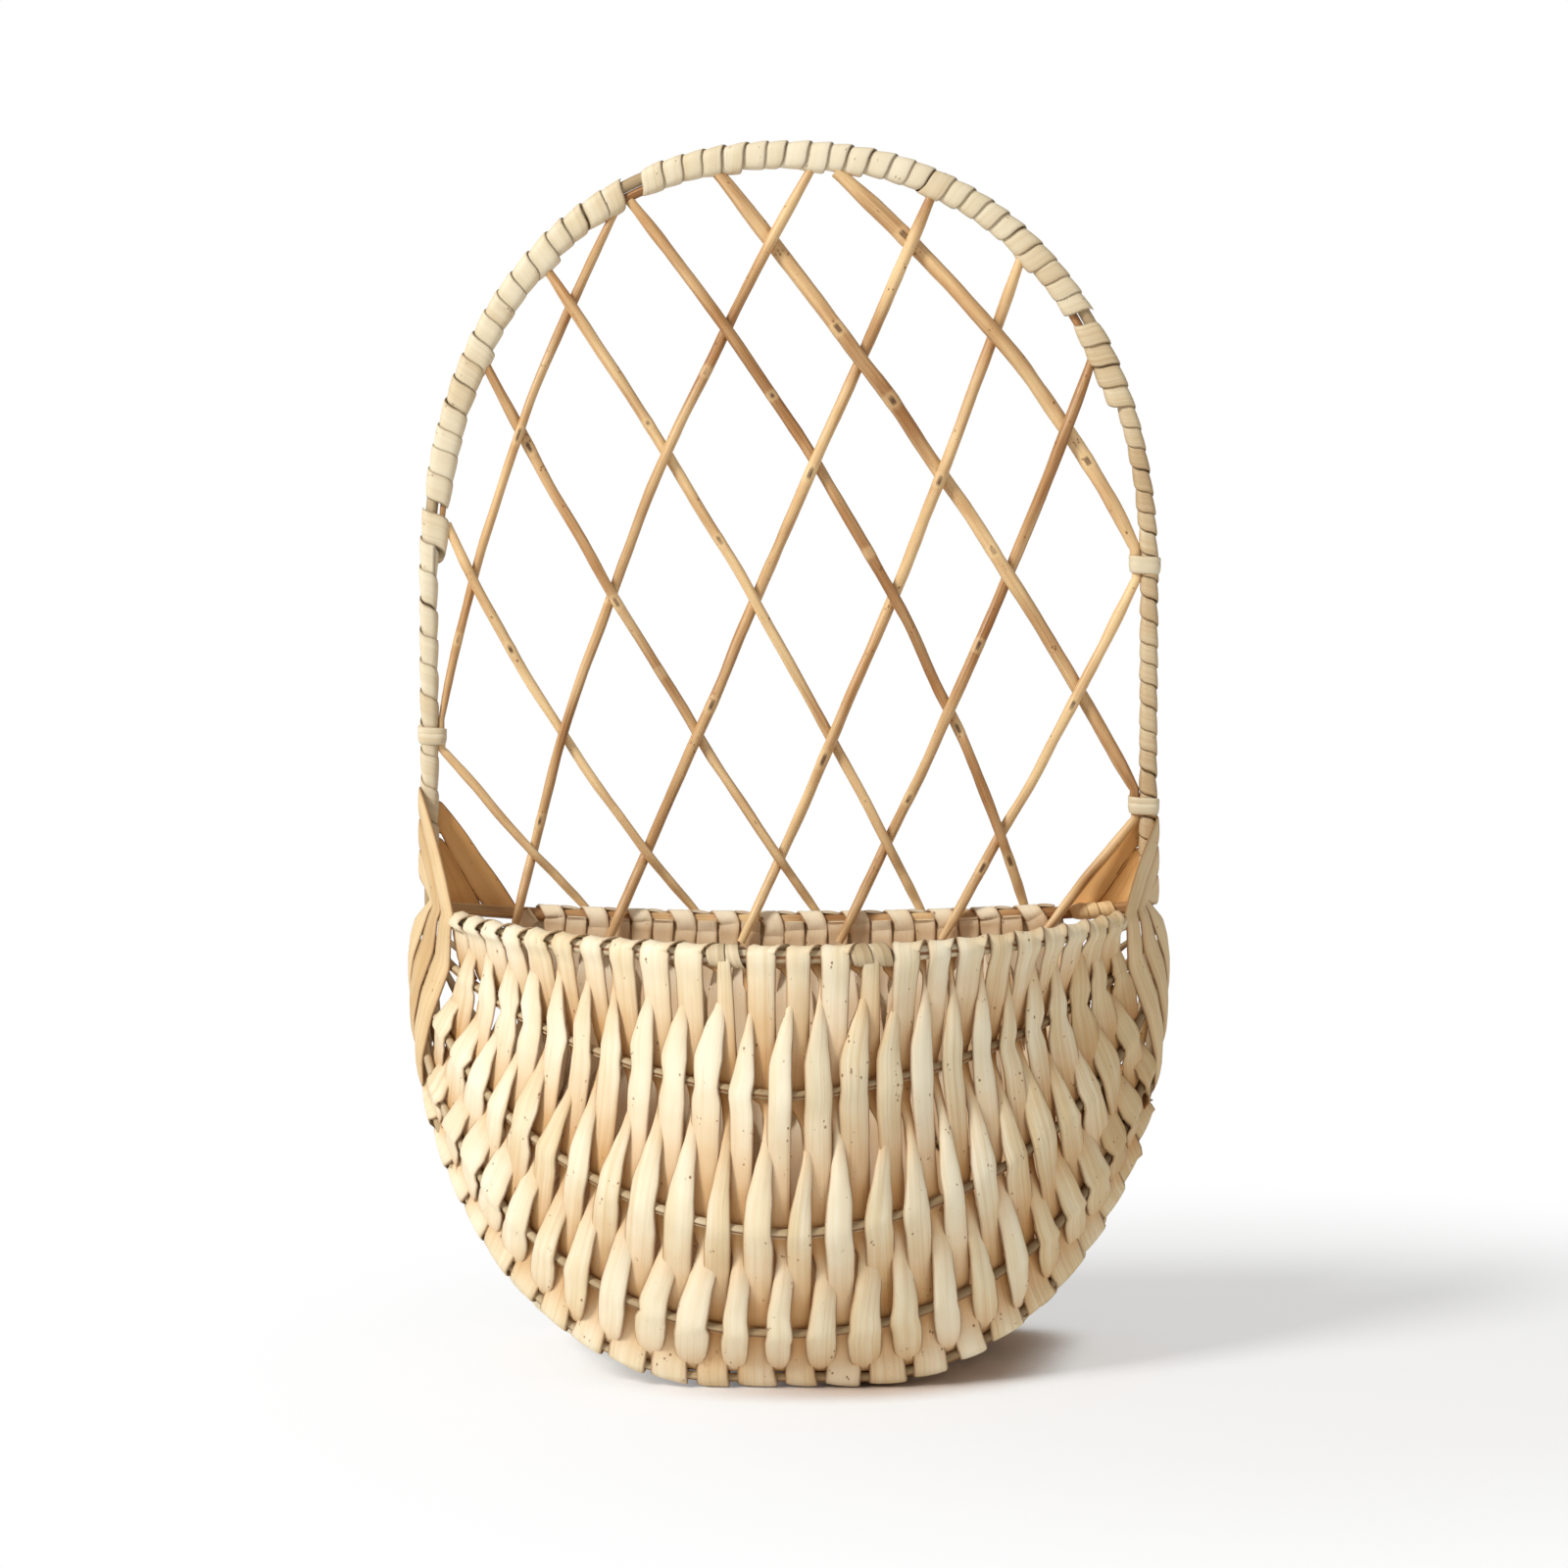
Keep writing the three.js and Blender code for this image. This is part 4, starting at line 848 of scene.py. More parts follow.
def knot_on_rod(course, k, here, is_outside):
    """The knot of a course where it lies over rod k or passes behind it."""
    offset = here["radius"] + CLEAR + STRIP_THICKNESS / 2
    spot = here["point"] + here["out"] * (offset if is_outside else -offset)
    spot = spot + here["across"] * chance.uniform(-SIDESTEP, SIDESTEP)
    is_wrap = k in WRAP_WIDTHS and is_outside
    room = (WRAP_ROOM if is_wrap else
            chance.uniform(LEAST_ROOM, MOST_ROOM) + (0 if is_outside else INSIDE_ROOM))
    full = strip_width(course, here["point"]) * SPAN_WIDTHS[k]
    width = full * chance.uniform(0.94, 1.06) * (WRAP_WIDTHS[k] if is_wrap else 1.0)
    tilt = math.radians(5 if is_wrap else chance.uniform(-6, 6))
    # A strip that passes behind a rod gets painted shade there, less at the back.
    depth = 0.0 if is_outside else FRONT_PAINTED_SHADE if k < HOOP_INDEX else BACK_PAINTED_SHADE
    return (spot, here["across"], here["out"], min(width, here["pitch"] * room) / 2, tilt,
            0.08 if is_wrap else 0.18, strip_tone(course, spot), depth)


# %% The knots of a strip between two rods
SHORT_SPAN, LONG_SPAN = 26, 52
SHORT_LEAST = 0.66
SWING, SWING_AT_SIDE = 2.5, 0.7
LEAN_FROM, LEAN_CHANGE = 30, 45


def knots_between(course, k, here, after, is_outside):
    """The knots from rod k to the next one. The tables are read from the upper rod down."""
    is_front = k < HOOP_INDEX
    upper, lower = (here, after) if is_front else (after, here)
    goes_in = is_outside[0] if is_front else is_outside[1]
    across = unit(here["across"] + after["across"])
    out = cross(after["point"] - here["point"], across)
    at_side = crowded(here["point"])
    short = ramp(np.linalg.norm(after["point"] - here["point"]), LONG_SPAN, SHORT_SPAN)
    swing = SWING - SWING_AT_SIDE * at_side
    full = strip_width(course, here["point"]) * SPAN_WIDTHS[k]
    narrow = min(full, (here["pitch"] + after["pitch"]) * (0.92 + 0.08 * at_side))
    least = max(SHORT_LEAST * short, LEAST_WIDTHS.get(k, 0))
    to_right = np.clip(1 - (upper["point"][0] - LEAN_FROM) / LEAN_CHANGE, -1, 1)
    lean = chance.uniform(0.2, 1.1) * to_right * (1 - 0.6 * short) * narrow / 2
    twist = math.radians(chance.uniform(-9, 9)) * (1 + ramp(upper["point"][0], 0, 80))
    slide = chance.uniform(-0.08, 0.08) * (0.5 if k == BASE_SPAN else 1)
    going_in, coming_out = ways_below(k)
    rows = []
    for n, (share, depth, width, cup, right) in enumerate(going_in if goes_in else coming_out):
        if k == FRONT and goes_in and course in ROLLED_COURSES:
            width = ROLLED_WIDTHS[n]
        spot = upper["point"] * (1 - share - slide) + lower["point"] * (share + slide)
        spot = spot + out * depth * swing + across * right * lean
        # Painted shade: the further a strip lies behind its neighbours, the more of the warm dark
        # tint it gets, less at the back.
        shade = (1.0 if is_front else 0.6) * np.clip(0.48 - 0.5 * depth, 0, 1)
        rows.append((spot, across, out, narrow * max(width, least) / 2,
                     twist * math.sin(math.pi * share), cup * (1 - 0.5 * short),
                     strip_tone(course, spot), shade))
    return rows if is_front else rows[::-1]


# %% One course from rim to rim
SPREAD_IN_FRONT, SPREAD_BEHIND, EDGE_SPREAD_BEHIND = 0.013, 0.014, 0.03


def rods_met(course):
    """The outermost courses spread a little, to lie close to the lashings beside them."""
    share = course_share(course)
    places = crossings(share)
    if course in OUTERMOST:
        behind = EDGE_SPREAD_BEHIND if course in (0, COURSES - 1) else SPREAD_BEHIND
        in_front, at_back = [crossings(share + math.copysign(more, share))
                             for more in (SPREAD_IN_FRONT, behind)]
        places[1:HOOP_INDEX - 1] = in_front[1:HOOP_INDEX - 1]
        places[HOOP_INDEX + 1:] = at_back[HOOP_INDEX + 1:]
    return places


def add_course(path, course, outside_at_front, rising):
    """The knots of one course between the two rims, in the order in which the strip passes them."""
    places = rods_met(course)
    knots = []
    for k, (here, after) in enumerate(zip(places, places[1:])):
        is_outside = [outside_at_front == (n % 2 == 0) for n in (k, k + 1)]
        if k != FRONT:
            knots.append(knot_on_rod(course, k, here, is_outside[0]))
        knots += knots_between(course, k, here, after, is_outside)
    for knot in (knots[::-1] if rising else knots):
        path.add(*knot)


# %% The turn over a rim
WRAP_ANGLES = np.radians([0, 45, 90, 135, 180])
STEP_ASIDE_FROM = 0.9
TURN_WIDTH, ROLLED_TURN_WIDTH, TURN_ROOM = 0.96, 0.45, 1.94


def add_turn(path, rim_index, from_course, to_course, angles=WRAP_ANGLES):
    """The knots of the turn over a rim, from outside to inside."""
    course = min(from_course, COURSES - 1)
    is_rolled = rim_index == FRONT and course in ROLLED_COURSES
    for angle in angles:
        moved = float(ramp(angle, STEP_ASIDE_FROM, math.pi))
        share = course_share(from_course)
        share = share + (course_share(to_course) - share) * moved
        rim = crossings(share)[rim_index]
        up = rim["along"] * (-1 if rim_index == FRONT else 1)
        direction = rim["out"] * math.cos(angle) + up * math.sin(angle)
        offset = rim["radius"] + CLEAR + STRIP_THICKNESS / 2
        width = min(strip_width(course, rim["point"]) * 1.1, rim["pitch"] * TURN_ROOM)
        # The last value is painted shade, growing towards the inside of the turn.
        path.add(rim["point"] + direction * offset, rim["across"], direction,
                 width / 2 * (ROLLED_TURN_WIDTH if is_rolled else TURN_WIDTH), 0.0, 0.08,
                 strip_tone(course, rim["point"]), 0.15 - 0.15 * math.cos(angle))


# %% Weave the pocket
weave_faces = 0
for weaver in range(WEAVERS):
    path = Path()
    first = weaver * COURSES_PER_WEAVER
    last = first + COURSES_PER_WEAVER - 1
    add_turn(path, REAR, first, first, [math.pi])
    for course in range(first, last, 2):
        add_course(path, course, True, rising=True)
        add_turn(path, FRONT, course, course + 1)
        add_course(path, course + 1, False, rising=False)
        add_turn(path, REAR, course + 1, course + 2,
                 WRAP_ANGLES[:3] if course + 1 == last else WRAP_ANGLES)
    woven = piece_of(f"weaver_{weaver + 1:02d}", [path.smooth()], PEELED,
                     sides=14, corner=0.5, lump=0.1, lump_size=90.0)
    weave_faces += len(woven.data.loop_triangles)
print("weave of", COURSES, "courses,", weave_faces, "triangles")

# %% [markdown]
# In two places the end of a strip is wound round the front rim as a small roll, over the turn of
# another strip, which is narrow there. The front rim has such a roll beside the lashings at both
# sides too, and so has the right end of the back rim. The rolls could be pieces of their own, but
# nobody would ever take one off, so each is one more length in the piece of its rim.

# %% Wind the small rolls
ROLL_THICKNESS = 0.6
ROLL_POINTS = 20
ROLL_SLANT, ROLL_UNEVENNESS = 0.12, 0.12


def roll(line, radius, share, reach, turns, tone, seed):
    """A thin strip wound round a rod, from one place on it to another."""
    random = np.random.default_rng(seed)
    steps = turns * ROLL_POINTS
    psi = np.arange(steps + 1) / ROLL_POINTS * 2 * math.pi
    u = (1 + share) / 2 + np.linspace(-0.5, 0.5, steps + 1) * reach / line.length
    u = u + ROLL_UNEVENNESS * reach / turns / line.length * np.sin(psi * 0.37 + seed)
    along = line.heading(u)
    first = cross(UP, along)
    normal = first * np.cos(psi)[:, None] + cross(along, first) * np.sin(psi)[:, None]
    width = reach / turns * random.uniform(1.15, 1.35)
    return Length(line.at(u) + normal * (radius + ROLL_THICKNESS / 2),
                  along + ROLL_SLANT * normal, normal, width / 2, ROLL_THICKNESS / 2,
                  tone=tone + wander(steps + 1, 10, 0.15, seed))


def rim_length(line, tone, seed):
    u = along_line(line)
    radius = RIM_R * (1 + wander(len(u), 6, 0.05, 20 + seed))
    return rod_length(line.at(u), radius, UP, tone=tone + wander(len(u), 14, 0.2, 10 + seed))


ON_STRIPS = RIM_R + CLEAR + STRIP_THICKNESS - 0.3
ON_RIM = RIM_R + 0.2
rolls = [roll(front_rim, ON_STRIPS, course_share(course), 12, 2, 0.45 + 0.2 * n, 70 + course)
         for n, course in enumerate(ROLLED_COURSES)]
rolls += [roll(front_rim, ON_RIM, share, 10, 3, 0.3, seed)
          for share, seed in ((-0.735, 91), (0.735, 92))]
piece_of("front_rim_rod", [rim_length(front_rim, 0.34, 0), *rolls], ROD, sides=14,
         lump=0.1)
end_roll = roll(back_rim, ON_RIM, 0.86, 17, 3, 0.1, 95)
piece_of("back_rim_rod", [rim_length(back_rim, 0.62, 1), end_roll], STICK, sides=14,
         lump=0.1)
print("rolls", len(rolls) + 1)

# %% [markdown]
# ## The lattice
# Round sticks cross over and under each other to fill the arch. Where a bud sat, a stick keeps a
# dark slit along its fibres with a paler halo. The tips are tucked under the binding, or side by
# side with the leg into a tie. A falling stick ends behind the back rim, a rising one hooks over
# in front of it. Straight tubes in two planes would be quicker, but the bends that the crossings
# force on the sticks are what makes a lattice look woven. So each stick is first planned as a
# flat line, the crossings are found, and then it is bent to the front or to the back of each.

# %% The plan of the sticks
TIES = {"left_tie": dict(side=-1, leg=0.558, room=2.3),
        "right_upper_tie": dict(side=1, leg=1.067, room=3.6),
        "right_lower_tie": dict(side=1, leg=0.348, room=3.4)}
FALLING = [dict(start="left_tie", rim=-0.553, bow=0, radius=1.7),
           dict(toward=-81, rim=-0.241, bow=-8, radius=1.8),
           dict(toward=-55, rim=0.099, bow=-5, radius=1.9),
           dict(toward=-38, rim=0.39, bow=6, radius=2.0),
           dict(toward=-22.4, rim=0.681, bow=17, radius=2.1),
           dict(toward=-9.3, end="right_lower_tie", bow=8, radius=2.7),
           dict(toward=7.4, end="right_upper_tie", bow=12, radius=2.9)]
RISING = [dict(toward=-26.2, end="left_tie", bow=-8, radius=1.7),
          dict(toward=2.8, rim=-0.78, bow=-14, radius=1.9),
          dict(toward=20.3, rim=-0.51, bow=0, radius=2.1),
          dict(toward=36.1, rim=-0.135, bow=4, radius=2.1),
          dict(toward=54.6, rim=0.142, bow=4, radius=2.1),
          dict(start="right_upper_tie", rim=0.432, bow=2, radius=2.0),
          dict(start="right_lower_tie", rim=0.716, bow=0, radius=2.0)]
print("planned", len(FALLING), "falling and", len(RISING), "rising sticks")

# %% Where a stick starts and ends
LINER_FROM, LINER_TO, LINER_TAPER, LINER_TIP = 0.2, 0.715, 0.05, 0.5
GAP = 0.3
BINDING_THICKNESS, UNDER_BINDING = 0.8, 3.2
TIE_HEIGHT, TIE_CLEARANCE, TUCK = 8.5, 1.5, 3.4
NEARBY_ON_ARCH = np.array([-1, -0.5, 0, 0.5, 1]) * 0.012


def liner_radius(u):
    """The second rod is thin at its ends."""
    share = np.clip(np.minimum(u - LINER_FROM, LINER_TO - u) / LINER_TAPER, 0, 1)
    return LINER_R * (LINER_TIP + (1 - LINER_TIP) * share)


def bundle_reach(u):
    """How far the hoop, and the second rod where there is one, reach into the arch."""
    nearby = np.asarray(u)[..., None] + NEARBY_ON_ARCH
    lined = HOOP_R + GAP + LINER_R + liner_radius(nearby)
    return np.where((nearby > LINER_FROM) & (nearby < LINER_TO), lined, HOOP_R).max(axis=-1)


def seat(u, tip_radius):
    """Where the tip of a stick sits against the bundle, under the binding."""
    return arch.at(u) + inward(u) * (bundle_reach(u) + 2 * GAP + BINDING_THICKNESS + tip_radius)


def in_tie(name, above, tip_radius):
    """Where a stick comes out of a tie, above or below it, and where its end sits inside."""
    tie = TIES[name]
    spot = seat(place_on_leg(tie["side"], tie["leg"]), tip_radius) * [1, 1, 0]
    edge = leg_height(tie["leg"]) + above * TIE_HEIGHT / 2
    return spot + [0, 0, edge + above * TIE_CLEARANCE], spot + [0, 0, edge - above * TUCK]


# %% Plan each stick as a flat line
TIP_SHARE, FULL_TIP, TIP_LENGTH, TAPER = 0.6, 0.78, 14, 0.18
HOOK_DROP, STUB_DROP = 8, 1
STICK_POINTS = 601
T = np.linspace(0, 1, STICK_POINTS)


def rim_height(x):
    return float(np.interp(x, back_rim.points[:, 0], back_rim.points[:, 2]))


def planned(stick, hooked):
    tip = stick["radius"] * TIP_SHARE
    tips, before, behind = [], None, None
    if "start" in stick:
        top, before = in_tie(stick["start"], -1, tip)
    else:
        tips.append(place_in_direction(stick["toward"]))
        top = seat(tips[0], tip)
    if "rim" in stick:
        x = stick["rim"] * RIM_END_X
        foot = np.array([x, 0, rim_height(x) - (HOOK_DROP if hooked else STUB_DROP)])
    else:
        foot, behind = in_tie(stick["end"], 1, tip)
    control = (top + foot) / 2 + [2 * stick["bow"], 0, 0]
    if before is None:
        before = top + unit(top - control) * UNDER_BINDING
    return dict(curve=drawn(top, control, foot, STICK_POINTS), radius=stick["radius"],
                on_rim="rim" in stick, hooked=hooked, tips=tips, before=before, behind=behind,
                meets=[])


falling = [planned(stick, False) for stick in FALLING]
rising = [planned(stick, True) for stick in RISING]
print("lines", len(falling) + len(rising))

# %% Find the crossings
MEETING_GAP, END_SHARE = 2, 0.03


def stick_radius(stick, t, tip_share=TIP_SHARE):
    """The radius at a share of the way down. A stick tapers downwards and towards both tips."""
    length = run_along(stick["curve"])[-1]
    tip = tip_share + (1 - tip_share) * np.minimum(1, np.minimum(t, 1 - t) * length / TIP_LENGTH)
    return stick["radius"] * (1 + TAPER * (0.5 - t)) * tip


for i, first in enumerate(falling):
    for j, second in enumerate(rising):
        gaps = np.linalg.norm(first["curve"][::3, None, ::2] - second["curve"][None, ::3, ::2],
                              axis=2)
        a, b = np.unravel_index(gaps.argmin(), gaps.shape)
        t, u = T[::3][a], T[::3][b]
        if gaps.min() > MEETING_GAP or not all(END_SHARE < s < 1 - END_SHARE for s in (t, u)):
            continue
        front = 1 if (i + j) % 2 else -1
        apart = stick_radius(first, t) + stick_radius(second, u) + GAP
        first["meets"].append((t, -front * apart / 2))
        second["meets"].append((u, front * apart / 2))
print("sticks cross", sum(len(s["meets"]) for s in falling), "times")

# %% Bend a stick from crossing to crossing
RIM_WRAP = (RIM_R + GAP) / math.cos(math.radians(22.5)) + STRIP_THICKNESS
BEND_STEP = 2.5


def bends(stick):
    """How far a stick lies in front of the lattice or behind it, at its crossings and ends."""
    knots = [(0.0, 0.0), *sorted(stick["meets"])]
    if not stick["on_rim"]:
        return [*knots, (1.0, 0.0)]
    direction = -1 if stick["hooked"] else 1
    foot, top = stick["curve"][-1], stick["curve"][0]
    beside = RIM_WRAP + GAP + stick["radius"]
    for height, y in [(16, 1.6), (RIM_WRAP, beside * 0.82), (1, beside)]:
        share = (top[2] - (rim_height(foot[0]) + height)) / (top[2] - foot[2])
        knots.append((share, direction * y))
    return sorted([*knots, (1.0, direction * beside)])


def bent_spine(stick, seed):
    curve = stick["curve"]
    t = np.linspace(0, 1, int(run_along(curve)[-1] / BEND_STEP))
    knot_t, knot_y = np.array(bends(stick)).T
    cell = np.clip(np.searchsorted(knot_t, t, side="right") - 1, 0, len(knot_t) - 2)
    share = np.clip((t - knot_t[cell]) / np.maximum(knot_t[cell + 1] - knot_t[cell], 1e-6), 0, 1)
    ease = (1 - np.cos(np.pi * share)) / 2
    y = knot_y[cell] + (knot_y[cell + 1] - knot_y[cell]) * ease
    spine = np.stack([np.interp(t, T, curve[:, 0]), y, np.interp(t, T, curve[:, 2])], axis=1)
    spine[:, 0] += wander(len(t), 14, 0.7, seed) * np.sin(np.pi * t)
    return t, spine


# %% Give it buds and bend them all
BUDS, LEAST_BUD_GAP, MOST_BUD_GAP = 12, 28, 130
BUD_SWELL = 0.07


def stick_length(stick, seed):
    t, spine = bent_spine(stick, seed)
    radius = stick_radius(stick, t, FULL_TIP) * (1.07 + wander(len(t), 5, 0.06, seed + 1))
    if stick["before"] is not None:
        spine, radius = np.vstack([stick["before"], spine]), np.append(radius[0], radius)
    if stick["behind"] is not None:
        spine, radius = np.vstack([spine, stick["behind"]]), np.append(radius, radius[-1])
    random = np.random.default_rng(seed)
    buds = np.cumsum(random.uniform(LEAST_BUD_GAP, MOST_BUD_GAP, BUDS))
    run = run_along(spine)
    knot = np.zeros(len(spine))
    for bud in buds[buds < run_along(stick["curve"])[-1] - 15]:
        near = random.uniform(0.55, 1) * np.exp(-((run - bud) / random.uniform(2, 3.6)) ** 2)
        radius = radius * (1 + BUD_SWELL * near)
        knot = np.maximum(knot, near)
    tone = 0.42 + random.uniform(-0.12, 0.12) + wander(len(spine), 16, 0.14, seed + 2)
    return rod_length(spine, radius, tone=tone, knot=knot)


for kind, sticks, seed in (("falling", falling, 200), ("rising", rising, 300)):
    for n, stick in enumerate(sticks):
        piece_of(f"{kind}_stick_{n + 1}", [stick_length(stick, seed + 7 * n)], STICK,
                 sides=14, lump=0.16)
print("sticks bent", len(falling) + len(rising))

# %% [markdown]
# ## The bound arch
# A second rod lies inside the arch, and a flat strip is wound round both. Each turn slightly
# covers the one before, and the turns swell where they hold the tip of a stick. The strip moves
# on by about its own width in every turn, a little more of it behind than in front. A row of rings
# would be easier to place, but a winding is one strip, and the slant and the lap of its turns come
# with it.

# %% Lay the second rod
u = along_line(arch, LINER_FROM, LINER_TO)
liner_spine = arch.at(u) + inward(u) * (HOOP_R + GAP + LINER_R)
liner_thickness = liner_radius(u) * (1.12 + wander(len(u), 6, 0.05, 60))
liner_tone = 0.6 + wander(len(u), 12, 0.2, 61)
piece_of("arch_liner_rod", [rod_length(liner_spine, liner_thickness, tone=liner_tone)],
         STICK, sides=12, lump=0.15)
print("second rod", round(arch.length * (LINER_TO - LINER_FROM)), "mm")

# %% The outline that the binding follows
BINDING_LOW = 0.11
TIPS = np.array([tip for stick in falling + rising for tip in stick["tips"]])
TIP_SWELL, TIP_REACH = 1.3, 5.0
SQUARENESS = 0.72


def swollen(u):
    near = np.exp(-(((np.asarray(u)[:, None] - TIPS) * arch.length / TIP_REACH) ** 2))
    return bundle_reach(u) + TIP_SWELL * near.max(axis=1)


def square(values):
    """A sine or cosine that turns an ellipse into a rounded square."""
    return np.sign(values) * np.abs(values) ** SQUARENESS


def round_bundle(u, psi, grow):
    """A place on the bound arch: psi turns from the inner side over the front to the outer side."""
    outer, inner = -(HOOP_R + grow), swollen(u) + grow
    centre, reach, width = (inner + outer) / 2, (inner - outer) / 2, HOOP_R + grow
    c, s = square(np.cos(psi)), square(np.sin(psi))
    inn = inward(u)
    place = arch.at(u) + inn * (centre + reach * c)[:, None] - BACK * (width * s)[:, None]
    normal = unit(inn * (c / reach)[:, None] - BACK * (s / width)[:, None])
    return place, normal


print("binding swells over", len(TIPS), "tips")

# %% Wind the binding
BINDINGS = [("left_leg_binding", place_on_leg(-1, BINDING_LOW), 0.215, 11),
            ("left_arch_binding", 0.218, 0.414, 15),
            ("top_arch_binding", 0.4215, 0.68, 23),
            ("right_leg_binding", 0.6835, place_on_leg(1, BINDING_LOW), 25)]
FRONT_ADVANCE = 0.48
POINTS_PER_TURN = 32


def advanced(progress):
    """How far a strip has moved on, from 0 to 1: a little less in front than behind."""
    in_turn = progress % 1
    behind = FRONT_ADVANCE + (in_turn * 2 - 1) * (1 - FRONT_ADVANCE)
    done = np.floor(progress) + np.where(in_turn < 0.5, in_turn * 2 * FRONT_ADVANCE, behind)
    return (done - done[0]) / (done[-1] - done[0])


def winding(start, stop, turns, seed):
    random = np.random.default_rng(seed)
    progress = np.arange(turns * POINTS_PER_TURN + POINTS_PER_TURN // 2 + 1) / POINTS_PER_TURN
    psi = progress * 2 * math.pi

    def each_turn(reach):
        drawn_values = np.concatenate([[0], random.uniform(-reach, reach, turns), [0]])
        return np.interp(progress, np.arange(turns + 2), drawn_values)

    pitch = (stop - start) / turns
    width = pitch * arch.length
    u = start + (stop - start) * advanced(progress) + each_turn(0.12) * pitch
    u = u + each_turn(0.09) * pitch * np.sin(psi)
    margin = width / 2 / arch.length
    u = start + margin * 0.8 + (u - start) * (1 - 1.6 * margin / (stop - start))
    place, normal = round_bundle(u, psi, GAP + BINDING_THICKNESS / 2 + 0.1)
    slant = math.asin(min(0.3, 1.2 * BINDING_THICKNESS / width)) * (1 + each_turn(0.5))
    across = unit(arch.heading(u) * np.cos(slant)[:, None] + normal * np.sin(slant)[:, None])
    # The binding is darker towards the right leg, partly its own tone and partly painted shade.
    tone = 0.4 + each_turn(0.2) + 0.45 * np.clip(place[:, 0] / HALF_WIDTH, 0, 1) ** 4
    return Length(place, across, normal, width / 2 * (1.05 + each_turn(0.12)),
                  BINDING_THICKNESS / 2, cup=0.04, tone=tone)


for n, (name, start, stop, turns) in enumerate(BINDINGS):
    wound = piece_of(name, [winding(start, stop, turns, 400 + n)], BINDING,
                     sides=10, corner=0.5)
    print(name, turns, "turns,", len(wound.data.loop_triangles), "triangles")

# %% [markdown]
# ## The lashed corners
# Where the rim meets the hoop, broad strips hold everything together. Each comes round the leg
# of the hoop from behind, crosses over the end of the rim, runs down over the ends of the ribs and
# goes in behind the hoop. Shorter ones close the corner inside. They could be flat panels bent
# over the corner, but a strip that is pulled tight shows its folds at every rod it crosses, so
# each is led by knots, and drawn straight between them.

# %% A strip pulled tight over the corner
CORNERS = [dict(name="left", side=-1, leg=[0.356, 0.262, 0.168], inner=[0.31, 0.2],
                leg_width=12.0, tone=0.4, inner_painted_shade=0.3),
           dict(name="right", side=1, leg=[0.27, 0.182, 0.094], inner=[0.27, 0.17],
                leg_width=11.5, tone=0.3, inner_painted_shade=0.2)]
LASH_SHARES, INNER_SHARES = [0.79, 0.862, 0.934], [0.815, 0.92]
LASH_THICKNESS, INNER_WIDTH = 1.1, 13.0
LASH_STEP, LASH_FILL = 0.072, 0.94
LASH_DRIFT = [-0.018, 0.006, 0.014, 0.012, 0.006, 0, 0]
LEG_REACH = HOOP_R + GAP + BINDING_THICKNESS + GAP + LASH_THICKNESS / 2
OVER = GAP + LASH_THICKNESS / 2
CORNER_REACH = 1.06


def lash_width(place):
    return place["pitch"] / COURSE_STEP * LASH_STEP * LASH_FILL


def lashing(corner, share, on_leg, seed):
    """Round the leg, with a twist over the rim's end, down over the ribs and in behind the hoop."""
    side, leg_half = corner["side"], corner["leg_width"] / 2
    places = [crossings(side * (share + drift))[k] for k, drift in enumerate(LASH_DRIFT)]
    rim, ribs, hoop = places[0], places[1:HOOP_INDEX], places[HOOP_INDEX]
    outwards = np.array([side, 0.0, 0.0])
    leg = np.array([side * HALF_WIDTH, 0, leg_height(on_leg)])
    tone = corner["tone"] + np.random.default_rng(seed).uniform(-0.12, 0.12)
    path = Path()

    def away(place):
        return -side * place["across"]

    def lay(place, facing, lift, cup=0.1):
        path.add(place["point"] + facing * lift, away(place), facing, lash_width(place) / 2,
                 cup=cup, tone=tone)

    for facing, reach in ((BACK, 1.0), (unit(BACK + outwards), 1.22), (outwards, 1.0),
                          (unit(outwards - BACK), 1.25)):
        path.add(leg + facing * LEG_REACH * reach, UP, facing, leg_half, tone=tone)
    rim_top = unit(rim["out"] - rim["along"])
    rim_lift = rim["radius"] * CORNER_REACH + OVER
    over_rim, from_leg = rim["point"] + rim_top * rim_lift, path.knots[-1][0]
    twist = unit(UP + away(rim))
    twist_facing = cross(over_rim - from_leg, twist)
    twist_facing = twist_facing * np.sign(twist_facing @ outwards)
    path.add((from_leg + over_rim) / 2, twist, twist_facing,
             (corner["leg_width"] + lash_width(rim)) / 4 * 0.84, cup=0.5, tone=tone)
    for facing in (rim_top, rim["out"]):
        lay(rim, facing, rim_lift, 0.15)
    for rib in ribs:
        lay(rib, rib["out"], rib["radius"] + OVER + 0.1, 0.22)
    for facing in (hoop["out"], unit(hoop["out"] + BACK), BACK):
        lay(hoop, facing, hoop["radius"] + OVER + 0.3)
    return path.taut(step=2.0, thickness=LASH_THICKNESS)


def inner_lashing(corner, share, on_leg, tone):
    """From behind the leg, slanting down over the end of the back rim."""
    side = corner["side"]
    inwards = np.array([-side, 0.0, 0.0])
    facing = unit(inwards + BACK)
    leg = np.array([side * HALF_WIDTH, 0, leg_height(on_leg)])
    beside_leg = leg + facing * LEG_REACH * 1.25
    low = crossings(side * share)[REAR]["point"] + BACK * (RIM_WRAP + OVER)
    path = Path()
    # The inner strips lie in the shade of the corner, and get painted shade as well.
    more = dict(tone=tone, depth=corner["inner_painted_shade"])
    path.add(leg + BACK * LEG_REACH, UP, BACK, INNER_WIDTH / 2, **more)
    path.add(beside_leg, UP, facing, INNER_WIDTH / 2, **more)
    path.add((beside_leg + low) / 2, unit(UP + inwards), BACK, INNER_WIDTH * 0.42, cup=0.5, **more)
    path.add(low, inwards, BACK, INNER_WIDTH / 2, **more)
    return path.taut(step=1.6, thickness=LASH_THICKNESS)


